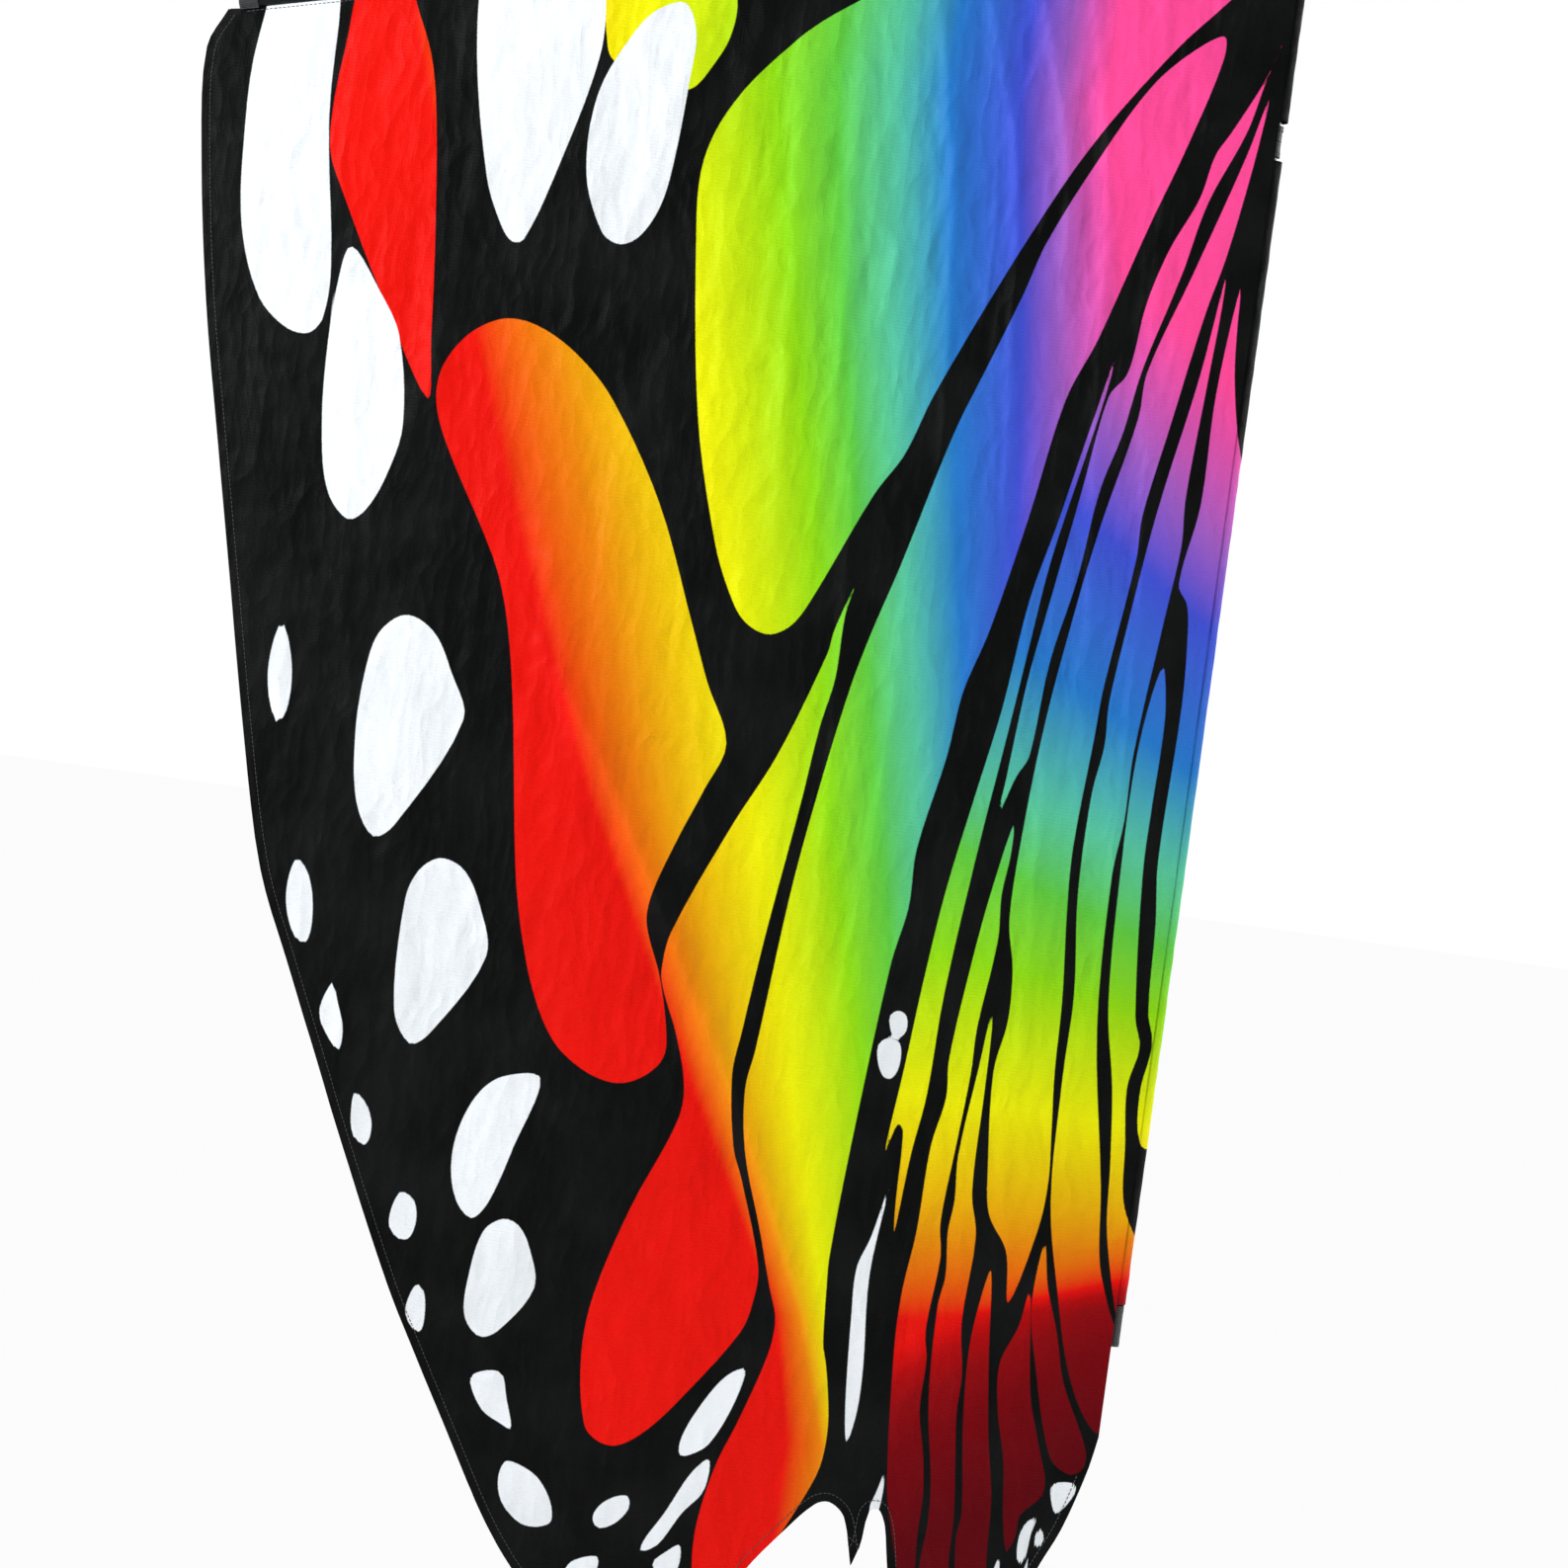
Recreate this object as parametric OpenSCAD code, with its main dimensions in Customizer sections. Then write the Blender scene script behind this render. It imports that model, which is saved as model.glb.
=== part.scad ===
// Butterfly delta kite, folded flat along its spine.
// The spine stands on the Z axis and hangs from a webbing loop whose inside top is the origin.
// Both wings reach towards -X: the left wing on the -Y side, the right wing on the +Y side.

/* [Wings] */
// Reach of one wing, from the spine's axis to its widest point
wing_w = 870; // [700:5:1000]
// Height of one wing, from the nose down to its lowest lobe
wing_h = 1495; // [1240:5:1800]
// Droop of the leading edge below a square line from the spine
lead_droop = 13.8; // [11:0.2:16]
// Thickness of the coated sail cloth
cloth_t = 0.8; // [0.6:0.1:1]
// Distance from the spine's axis to the middle of each folded wing
fold_gap = 9; // [9:0.5:11]
// Width of the hem along the free edge
hem_w = 9; // [6:1:14]
// Thickness of the hem's folded layer
hem_t = 0.4; // [0.3:0.1:0.5]

/* [Spine] */
// Outer radius of the spine rod
spine_r = 3; // [2.5:0.1:3.5]
// Wall of the spine, spar and spreader tubes
tube_wall = 1; // [0.8:0.1:1.2]
// Height of the hinge on the spine, below the nose
hub_drop = 203; // [180:1:240]

/* [Leading edge] */
// Outer radius of the leading edge spar
spar_r = 3; // [2.5:0.1:3.2]
// Distance along the leading edge from the nose to the spreader clip
clip_s = 640; // [560:5:700]
// Length of the clip's clamp on the spar
clip_l = 16; // [12:1:24]

/* [Spreader] */
// Radius of the spreader rod
rod_r = 2.5; // [2:0.1:2.5]
// Distance from the spine's axis to the spreader's pivot
pivot_x = 16; // [15:0.5:20]
// Radius of the pivot pin
pin_r = 1.5; // [1.2:0.1:1.8]

/* [Keel] */
// Depth of the keel, from the spine's axis to the tow eyelet
keel_depth = 215; // [160:5:260]
// Length of the keel's seam along the spine
keel_l = 540; // [420:5:640]
// Radius of the tow eyelet's hole
tow_r = 4; // [3:0.25:5]
// Width of the binding tape on the keel's free edges
binding_w = 8; // [6:1:12]

/* [Hanging loop] */
// Inside radius of the webbing loop
loop_r = 7; // [6:0.5:9]
// Thickness of the webbing
webbing_t = 1.4; // [1:0.1:1.8]
// Width of the webbing
webbing_w = 10; // [8:0.5:12]

/* [Hidden] */
$fn = 64;

fit = 0.05;          // running and sliding clearance on a radius
gap = 0.3;           // air between pieces that pass each other
skin = 0.8;          // wall of a sleeve sewn from doubled cloth
eps = 1;             // overrun of a cutting tool

// Heights that the rest hangs from
pocket_over = 2;                             // pocket top above the nose
nose_z = -(2 * loop_r + webbing_t + 7.6);    // nose, where the leading edges meet the spine
pocket_h = 52;
spine_l = 0.78 * wing_h;
tab_l = 10;                                  // depth of the loop's tab in the pocket
spine_top = nose_z - 18;
spine_foot = spine_top - spine_l;
hub_z = nose_z - hub_drop;

// Radii about the spine
inner_face = fold_gap - cloth_t / 2;         // inner face of a folded wing
sleeve_r = inner_face - gap;                 // spine sleeve, just inside the wings
pocket_r = sleeve_r - 1;
seam_x = 13;                                 // where the spine sleeve closes on the keel
cap_r = spine_r + 0.9;

// Leading edge
spar_s = 34;                                 // nose to the spar's inner end
spar_l = 0.972 * wing_w / cos(lead_droop) - spar_s - 4;
lead_sleeve_in = spar_r + 0.4;
lead_sleeve_r = lead_sleeve_in + skin;
sleeve_s = spar_s - 4;
sleeve_end = spar_s + spar_l + 4;
window_l = clip_l + 4;                       // opening in the sleeve for the clip

// Spreader and its clip
rod_y = inner_face - rod_r - 1.1;            // plane that the spreader swings in
jaw_drop = 17;                               // jaw centre below the spar
jaw_l = 12;
jaw_r = rod_r + 1;
jaw_c = 0.1;                                 // clearance of the rod in the jaw
pivot = [-pivot_x, hub_z];
jaw = lead_at(clip_s, jaw_drop);
reach = jaw - pivot;
reach_l = norm(reach);
swing = atan2(-reach[0], -reach[1]);         // from hanging to seated in the clip
rod_start = 14;
rod_end = reach_l + jaw_l / 2 + 6;
tip_l = 10;
eye_r = 5;
eye_t = 4;
eye_y = rod_y - 0.4;                         // middle of the eye
plate_t = 1.4;
plate_y = eye_y + eye_t / 2 + 0.2;           // inner face of the knuckle's plate
ring_h = 8;
ring_r = spine_r + 2;
knuckle_h = 18;
hinge_c = 0.3;                               // half the air between the two rings
collar_h = 4;
hub_window = 2 * (hinge_c + ring_h + collar_h) + 8;

// Keel
keel_top = hub_z - hub_window / 2 - 14;
tow = [-keel_depth, keel_top - 0.3 * keel_l];
tow_corner = 14;
patch_t = 0.5;
flange_t = 0.6;
barrel_r = tow_r + 0.6;
flange_r = tow_r + 4.5;
keel_face = cloth_t / 2 + patch_t;

// A point on the wing's plane: x and z, s along the leading edge from the nose and drop square below it
function lead_at(s, drop) = [
    -s * cos(lead_droop) + drop * sin(lead_droop),
    nose_z - s * sin(lead_droop) - drop * cos(lead_droop)
];

// A smooth curve through a list of points, without its last point
function blend_at(a, b, c, d, t) =
    0.5 * (2 * b + (c - a) * t + (2 * a - 5 * b + 4 * c - d) * t * t + (3 * b - 3 * c + d - a) * t * t * t);
function curve(p, n = 4) = [
    for (i = [0 : len(p) - 2]) for (j = [0 : n - 1])
        blend_at(p[max(i - 1, 0)], p[i], p[i + 1], p[min(i + 2, len(p) - 1)], j / n)
];

// The free edge, from the wing tip to the spine: shares of the wing's reach and height. The tip keeps to the leading edge.
outer_margin = [
    [0.983, 0.143], [0.998, 0.165], [0.990, 0.219], [0.967, 0.299], [0.937, 0.377], [0.906, 0.456],
    [0.875, 0.534], [0.844, 0.602], [0.810, 0.647], [0.770, 0.698], [0.729, 0.750], [0.675, 0.815],
    [0.644, 0.847], [0.595, 0.896], [0.556, 0.934], [0.523, 0.959], [0.479, 0.984], [0.424, 1.000],
    [0.375, 0.993], [0.338, 0.973], [0.310, 0.942], [0.279, 0.918], [0.253, 0.901], [0.240, 0.899],
    [0.225, 0.906], [0.213, 0.932]
];
notch = [[0.213, 0.932], [0.206, 0.918], [0.203, 0.901], [0.194, 0.899], [0.185, 0.910], [0.178, 0.931]];
tail_lobe = [
    [0.178, 0.931], [0.166, 0.959], [0.137, 0.981], [0.103, 0.986], [0.070, 0.967], [0.041, 0.920],
    [0.023, 0.897], [0.006, 0.864], [0.000, 0.845]
];
lead_clear = lead_sleeve_r + fit;            // the sail starts just below the sleeve
tip_z = lead_at(sleeve_end, lead_clear)[1] - 1.5;
tip_share = outer_margin[0][1];
function on_wing(p) = [
    -p[0] * wing_w,
    tip_z - (p[1] - tip_share) / (1 - tip_share) * (tip_z - nose_z + wing_h)
];
free_edge = [for (p = concat(curve(outer_margin), curve(notch), curve(tail_lobe))) on_wing(p)];
sail_outline = concat(
    [[0, nose_z - lead_clear / cos(lead_droop)]],
    [lead_at(sleeve_end - 2, lead_clear)],
    free_edge,
    [on_wing(tail_lobe[len(tail_lobe) - 1])]
);

// ---- helpers ----

// Extrudes a drawing on the XZ plane between y0 and y1
module slab(y0, y1) {
    translate([0, y1, 0]) rotate([90, 0, 0]) linear_extrude(y1 - y0) children();
}

// Places children made along +X at a point of the wing's plane, turned to run along the leading edge
module along_lead(s, drop = 0, y = -fold_gap) {
    p = lead_at(s, drop);
    translate([p[0], y, p[1]]) rotate([0, -lead_droop, 0]) rotate([0, 0, 180]) children();
}

// A rod along +X from a to b
module rod_x(r, a, b) {
    translate([a, 0, 0]) rotate([0, 90, 0]) cylinder(r = r, h = b - a);
}

// A rod along Y from y0 to y1
module rod_y_at(x, z, r, y0, y1) {
    translate([x, y1, z]) rotate([90, 0, 0]) cylinder(r = r, h = y1 - y0);
}

// ---- spine ----

module spine_rod() {
    color("dimgray") translate([0, 0, spine_foot]) difference() {
        cylinder(r = spine_r, h = spine_l);
        translate([0, 0, -eps]) cylinder(r = spine_r - tube_wall, h = spine_l + 2 * eps);
    }
}

module end_cap(z, up) {
    translate([0, 0, z]) mirror([0, 0, up ? 0 : 1]) difference() {
        translate([0, 0, -12]) cylinder(r = cap_r, h = 14);
        translate([0, 0, -12 - eps]) cylinder(r = spine_r, h = 12 + eps);
    }
}

module spine_top_cap() { color("black") end_cap(spine_top, true); }
module spine_foot_cap() { color("black") end_cap(spine_foot, false); }

// Cross-section of the cloth sleeve: round over the spine, closing to a seam on the keel's side
module sleeve_section(r, seam) {
    hull() {
        circle(r = r);
        translate([-seam, 0]) square([0.2, 1.2], center = true);
    }
}

module sleeve_length(top, foot) {
    translate([0, 0, foot]) linear_extrude(top - foot) difference() {
        sleeve_section(sleeve_r, seam_x);
        sleeve_section(sleeve_r - skin, seam_x - 3);
    }
}

sleeve_top_z = nose_z + pocket_over - pocket_h - 1;
tail_pocket_h = 34;
tail_pocket_z = spine_foot - 6;
sleeve_foot_z = tail_pocket_z + tail_pocket_h + 1;

module spine_sleeve() {
    color("black") {
        sleeve_length(sleeve_top_z, hub_z + hub_window / 2);
        sleeve_length(hub_z - hub_window / 2, sleeve_foot_z);
    }
}

// A webbing pocket that holds one end of the spine
module spine_pocket(foot, h) {
    translate([0, 0, foot]) linear_extrude(h) hull() {
        circle(r = pocket_r);
        translate([-15, 0]) square([6, 5], center = true);
    }
}

module nose_pocket() {
    top = nose_z + pocket_over;
    color("black") difference() {
        spine_pocket(top - pocket_h, pocket_h);
        translate([0, 0, top - pocket_h - eps]) cylinder(r = cap_r + fit, h = spine_top + 2 + fit - top + pocket_h + eps);
        translate([-tab_w / 2, -webbing_t, top - tab_l]) cube([tab_w, 2 * webbing_t, tab_l + eps]);
        rod_y_at(0, rivet_z, rivet_r, -pocket_r - eps, pocket_r + eps);
    }
}

module tail_pocket() {
    color("black") difference() {
        spine_pocket(tail_pocket_z, tail_pocket_h);
        translate([0, 0, spine_foot - 2 - fit]) cylinder(r = cap_r + fit, h = tail_pocket_h);
    }
}

// ---- hanging loop ----

tab_w = 9;
rivet_r = 1.5;
rivet_z = nose_z + pocket_over - tab_l / 2;

module hang_loop() {
    top = nose_z + pocket_over;
    color("black") {
        difference() {
            union() {
                slab(-webbing_w / 2, webbing_w / 2) translate([0, -loop_r]) circle(r = loop_r + webbing_t);
                translate([-tab_w / 2, -webbing_t, top - tab_l]) cube([tab_w, 2 * webbing_t, tab_l]);
                translate([-tab_w / 2, -webbing_t, top]) cube([tab_w, 2 * webbing_t, -2 * loop_r - top]);
            }
            slab(-webbing_w, webbing_w) translate([0, -loop_r]) circle(r = loop_r);
            rod_y_at(0, rivet_z, rivet_r, -webbing_w, webbing_w);
        }
    }
}

module nose_rivet() {
    color("silver") {
        rod_y_at(0, rivet_z, rivet_r, -pocket_r, pocket_r);
        for (side = [-1, 1])
            rod_y_at(0, rivet_z, 3, side > 0 ? pocket_r : -pocket_r - 0.7, side > 0 ? pocket_r + 0.7 : -pocket_r);
    }
}

// ---- hinge on the spine ----

module hinge_collars() {
    color("dimgray") for (foot = [hinge_c + ring_h + gap, -hinge_c - ring_h - gap - collar_h])
        translate([0, 0, hub_z + foot]) difference() {
            cylinder(r = ring_r + 0.5, h = collar_h);
            translate([0, 0, -eps]) cylinder(r = spine_r, h = collar_h + 2 * eps);
        }
}

// A ring that turns on the spine, with a plate that carries the spreader's pivot. upper puts the ring on top.
module knuckle(upper) {
    ring_z = hub_z + (upper ? hinge_c : -hinge_c - ring_h);
    color("dimgray") difference() {
        union() {
            translate([0, 0, ring_z]) cylinder(r = ring_r, h = ring_h);
            translate([-ring_r, -plate_y - plate_t, ring_z]) cube([ring_r, plate_y + plate_t, ring_h]);
            hull() for (x = [-ring_r, -pivot_x], z = [-1, 1])
                rod_y_at(x, hub_z + z * (knuckle_h / 2 - 4), 4, -plate_y - plate_t, -plate_y);
        }
        translate([0, 0, ring_z - eps]) cylinder(r = spine_r + fit, h = ring_h + 2 * eps);
        rod_y_at(-pivot_x, hub_z, pin_r, -plate_y - plate_t - eps, -plate_y + eps);
    }
}

module pivot_pin() {
    eye_in = eye_y - eye_t / 2;
    color("silver") {
        rod_y_at(-pivot_x, hub_z, pin_r, -plate_y - plate_t, -eye_in + 0.1);
        rod_y_at(-pivot_x, hub_z, pin_r + 1.5, -eye_in + 0.1, -eye_in + 0.8);
    }
}

// ---- spreader, hanging straight down from its pivot ----

module in_spreader() {
    translate([-pivot_x, -rod_y, hub_z]) rotate([0, 90, 0]) children();
}

module spreader_eye() {
    socket_r = rod_r + 0.8;
    neck = rod_y - eye_y;
    color("dimgray") difference() {
        union() {
            rod_y_at(-pivot_x, hub_z, eye_r, -eye_y - eye_t / 2, -eye_y + eye_t / 2);
            in_spreader() rod_x(socket_r, rod_start - 3, rod_start + 22);
            translate([-pivot_x - 3, -eye_y - eye_t / 2, hub_z - rod_start]) cube([6, eye_t, rod_start]);
        }
        rod_y_at(-pivot_x, hub_z, pin_r + fit, -inner_face, 0);
        in_spreader() rod_x(rod_r, rod_start, rod_start + 22 + eps);
    }
}

module spreader_rod() {
    color("dimgray") in_spreader() difference() {
        rod_x(rod_r, rod_start, rod_end);
        rod_x(rod_r - tube_wall, rod_start - eps, rod_end + eps);
    }
}

module spreader_tip() {
    color("black") in_spreader() difference() {
        union() {
            rod_x(rod_r + 0.7, rod_end - tip_l / 2, rod_end + 1);
            translate([rod_end + 1, 0, 0]) sphere(r = rod_r + 0.7);
        }
        rod_x(rod_r, rod_end - tip_l, rod_end);
    }
}

// ---- wing ----

module sail() {
    window = window_l + 6;
    color("orangered") slab(-fold_gap - cloth_t / 2, -inner_face) difference() {
        polygon(sail_outline);
        translate(lead_at(clip_s, 0)) rotate(lead_droop) square([window, 2 * (lead_clear + 3)], center = true);
    }
}

module hem() {
    color("black") slab(-inner_face, -inner_face + hem_t) difference() {
        polygon(sail_outline);
        offset(delta = -hem_w) polygon(sail_outline);
        translate(lead_at(0, 0)) rotate(180 + lead_droop) translate([-wing_w, -hem_w - lead_clear])
            square([wing_w + spar_s + spar_l - hem_w, 3 * hem_w + lead_clear]);
        translate([-hem_w - eps, nose_z - 0.83 * wing_h]) square([hem_w + 2 * eps, wing_h]);
    }
}

// Reinforcement inside the nose
module nose_patch() {
    color("black") slab(-inner_face, -inner_face + hem_t) polygon([
        lead_at(6, lead_clear),
        lead_at(70, lead_clear),
        lead_at(64, lead_clear + 22),
        [-5, nose_z - 64]
    ]);
}

module leading_sleeve() {
    color("black") for (part = [[sleeve_s, clip_s - window_l / 2], [clip_s + window_l / 2, sleeve_end]])
        along_lead(0) difference() {
            rod_x(lead_sleeve_r, part[0], part[1]);
            rod_x(lead_sleeve_in, part[0] - eps, part[1] + eps);
        }
}

module leading_spar() {
    color("dimgray") along_lead(0) difference() {
        rod_x(spar_r, spar_s, spar_s + spar_l);
        rod_x(spar_r - tube_wall, spar_s - eps, spar_s + spar_l + eps);
    }
}

module spar_caps() {
    cap_l = 12;
    color("black") along_lead(0) for (end = [[-1.5, cap_l, 0], [spar_l - cap_l, spar_l + 1.5, -eps]])
        difference() {
            rod_x(spar_r + 0.35, spar_s + end[0], spar_s + end[1]);
            if (end[2] == 0) rod_x(spar_r, spar_s, spar_s + cap_l + eps);
            else rod_x(spar_r, spar_s + spar_l - cap_l - eps, spar_s + spar_l);
        }
}

module tip_pocket() {
    color("black") along_lead(0) difference() {
        rod_x(lead_sleeve_r + fit + 1, sleeve_end - 14, sleeve_end + 1.5);
        rod_x(lead_sleeve_r + fit, sleeve_end - 14 - eps, sleeve_end + 0.2);
        translate([sleeve_end - 16, -cloth_t / 2 - hem_t - 0.2, -20]) cube([20, cloth_t + hem_t + 0.4, 20]);
    }
}

// A clamp on the spar with a cradle below it, open to the side that the spreader comes from
module spar_clip() {
    color("dimgray") difference() {
        union() {
            along_lead(clip_s) rod_x(lead_sleeve_r, -clip_l / 2, clip_l / 2);
            clip_web();
            at_jaw() rod_x(jaw_r, -jaw_l / 2, jaw_l / 2);
        }
        along_lead(clip_s) rod_x(spar_r, -clip_l, clip_l);
        at_jaw() rod_x(rod_r + jaw_c, -jaw_l, jaw_l);
        at_jaw() translate([-jaw_l, -rod_r - jaw_c, -3 * jaw_r]) cube([2 * jaw_l, 2 * (rod_r + jaw_c), 3 * jaw_r]);
    }
}

// Joins the clamp to the cradle, inside the wing's inner face
module clip_web() {
    web_w = 10;
    y_out = inner_face - 0.1;
    y_in = rod_y - 1.5;
    p = lead_at(clip_s, 0);
    translate([p[0], 0, p[1]]) rotate([0, -lead_droop, 0])
        translate([-web_w / 2, -y_out, -jaw_drop]) cube([web_w, y_out - y_in, jaw_drop - spar_r + 0.5]);
}

// Along the seated spreader, with -Z towards the side it comes from
module at_jaw() {
    translate([jaw[0], -rod_y, jaw[1]]) rotate([0, swing - 90, 0]) rotate([0, 0, 180]) children();
}

// ---- sides ----

module right() { mirror([0, 1, 0]) children(); }

module keel_outline(grow = 0) {
    offset(delta = grow) hull() {
        translate([-seam_x - 0.1 - 1, keel_top - keel_l]) square([1, keel_l]);
        translate(tow) circle(r = tow_corner);
    }
}

module beyond_seam() {
    intersection() {
        children();
        translate([-2 * keel_depth, keel_top - keel_l - 20]) square([2 * keel_depth - seam_x - 0.1, keel_l + 40]);
    }
}

module keel_panel() {
    color("black") slab(-cloth_t / 2, cloth_t / 2) difference() {
        keel_outline();
        translate(tow) circle(r = barrel_r);
    }
}

module keel_binding() {
    color("black") difference() {
        slab(-cloth_t / 2 - 0.5, cloth_t / 2 + 0.5) difference() {
            beyond_seam() keel_outline(0.8);
            keel_outline(-binding_w);
            translate([-seam_x - binding_w - 0.2, keel_top - keel_l + binding_w]) square([binding_w + 1, keel_l - 2 * binding_w]);
        }
        slab(-cloth_t / 2, cloth_t / 2) keel_outline();
    }
}

module keel_patches() {
    for (side = [0, 1]) color("black") mirror([0, side, 0])
        slab(-keel_face, -cloth_t / 2) difference() {
            intersection() {
                keel_outline(-binding_w - 0.2);
                translate(tow) circle(r = 48);
            }
            translate(tow) circle(r = barrel_r);
        }
}

module tow_eyelet() {
    color("silver") difference() {
        union() {
            rod_y_at(tow[0], tow[1], barrel_r, -keel_face, keel_face + flange_t);
            rod_y_at(tow[0], tow[1], flange_r, -keel_face - flange_t, -keel_face);
        }
        rod_y_at(tow[0], tow[1], tow_r, -fold_gap, fold_gap);
    }
}

module tow_washer() {
    color("silver") difference() {
        rod_y_at(tow[0], tow[1], flange_r, keel_face, keel_face + flange_t);
        rod_y_at(tow[0], tow[1], barrel_r, -fold_gap, fold_gap);
    }
}

spine_rod();
spine_top_cap();
spine_foot_cap();
spine_sleeve();
nose_pocket();
tail_pocket();
hang_loop();
nose_rivet();
hinge_collars();
keel_panel();
keel_binding();
keel_patches();
tow_eyelet();
tow_washer();
sail();  // left_sail
hem();  // left_hem
nose_patch();  // left_nose_patch
leading_sleeve();  // left_leading_sleeve
leading_spar();  // left_leading_spar
spar_caps();  // left_spar_caps
tip_pocket();  // left_tip_pocket
spar_clip();  // left_spar_clip
knuckle(true);  // left_knuckle
pivot_pin();  // left_pivot_pin
spreader_eye();  // left_spreader_eye
spreader_rod();  // left_spreader_rod
spreader_tip();  // left_spreader_tip
right() sail();  // right_sail
right() hem();  // right_hem
right() nose_patch();  // right_nose_patch
right() leading_sleeve();  // right_leading_sleeve
right() leading_spar();  // right_leading_spar
right() spar_caps();  // right_spar_caps
right() tip_pocket();  // right_tip_pocket
right() spar_clip();  // right_spar_clip
right() knuckle(false);  // right_knuckle
right() pivot_pin();  // right_pivot_pin
right() spreader_eye();  // right_spreader_eye
right() spreader_rod();  // right_spreader_rod
right() spreader_tip();  // right_spreader_tip
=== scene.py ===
"""Looks for a butterfly delta kite that hangs folded along its spine.

Printed sails, hems, sleeves, webbing and metal fittings.
"""

import math
import random

import bpy
import numpy as np
from mathutils import Matrix, Vector


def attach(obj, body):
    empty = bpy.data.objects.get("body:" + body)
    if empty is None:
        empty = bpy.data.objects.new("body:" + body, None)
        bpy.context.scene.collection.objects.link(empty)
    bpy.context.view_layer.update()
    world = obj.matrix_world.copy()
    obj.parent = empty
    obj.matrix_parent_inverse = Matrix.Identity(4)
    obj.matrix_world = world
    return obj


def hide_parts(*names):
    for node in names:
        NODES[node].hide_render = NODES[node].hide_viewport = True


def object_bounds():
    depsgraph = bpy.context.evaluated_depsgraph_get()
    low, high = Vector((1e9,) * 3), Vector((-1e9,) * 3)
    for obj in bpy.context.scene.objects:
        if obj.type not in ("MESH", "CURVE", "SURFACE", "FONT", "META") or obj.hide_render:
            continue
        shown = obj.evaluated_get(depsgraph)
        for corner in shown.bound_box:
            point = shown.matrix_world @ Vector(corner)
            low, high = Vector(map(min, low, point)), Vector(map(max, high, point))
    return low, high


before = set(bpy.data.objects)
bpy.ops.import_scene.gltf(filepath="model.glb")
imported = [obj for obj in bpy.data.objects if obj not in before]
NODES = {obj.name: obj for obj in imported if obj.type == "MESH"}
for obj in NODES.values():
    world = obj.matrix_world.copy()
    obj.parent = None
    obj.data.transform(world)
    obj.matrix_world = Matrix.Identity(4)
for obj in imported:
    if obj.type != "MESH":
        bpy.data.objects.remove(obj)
CAD_BOX = [list(corner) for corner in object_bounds()]
random.seed(7)
MM = 0.001

# ---- sizes of the wing, in millimetres; across is measured out from the spine, down from the nose ----

WING_W, WING_H = 870.0, 1495.0
DROOP = math.radians(13.8)
FOLD = 9.0  # from the spine's axis to the middle of a folded wing
NOSE_Z = -23.0
LEAD_CLEAR = 4.25
TIP_S = 0.972 * WING_W / math.cos(DROOP)  # the leading edge sleeve's outer end, from the nose
CLIP_S, CLIP_GAP = 640.0, 13.0
HEM_W = 9.0
MARGIN = [
    (0.983, 0.143), (0.998, 0.165), (0.990, 0.219), (0.967, 0.299), (0.937, 0.377), (0.906, 0.456),
    (0.875, 0.534), (0.844, 0.602), (0.810, 0.647), (0.770, 0.698), (0.729, 0.750), (0.675, 0.815),
    (0.644, 0.847), (0.595, 0.896), (0.556, 0.934), (0.523, 0.959), (0.479, 0.984), (0.424, 1.000),
    (0.375, 0.993), (0.338, 0.973), (0.310, 0.942), (0.279, 0.918), (0.253, 0.901), (0.240, 0.899),
    (0.225, 0.906), (0.213, 0.932),
]
NOTCH = [(0.213, 0.932), (0.206, 0.918), (0.203, 0.901), (0.194, 0.899), (0.185, 0.910), (0.178, 0.931)]
LOBE = [
    (0.178, 0.931), (0.166, 0.959), (0.137, 0.981), (0.103, 0.986), (0.070, 0.967), (0.041, 0.920),
    (0.023, 0.897), (0.006, 0.864), (0.000, 0.845),
]

# ---- the print, in millimetres across and down the wing ----

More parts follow.
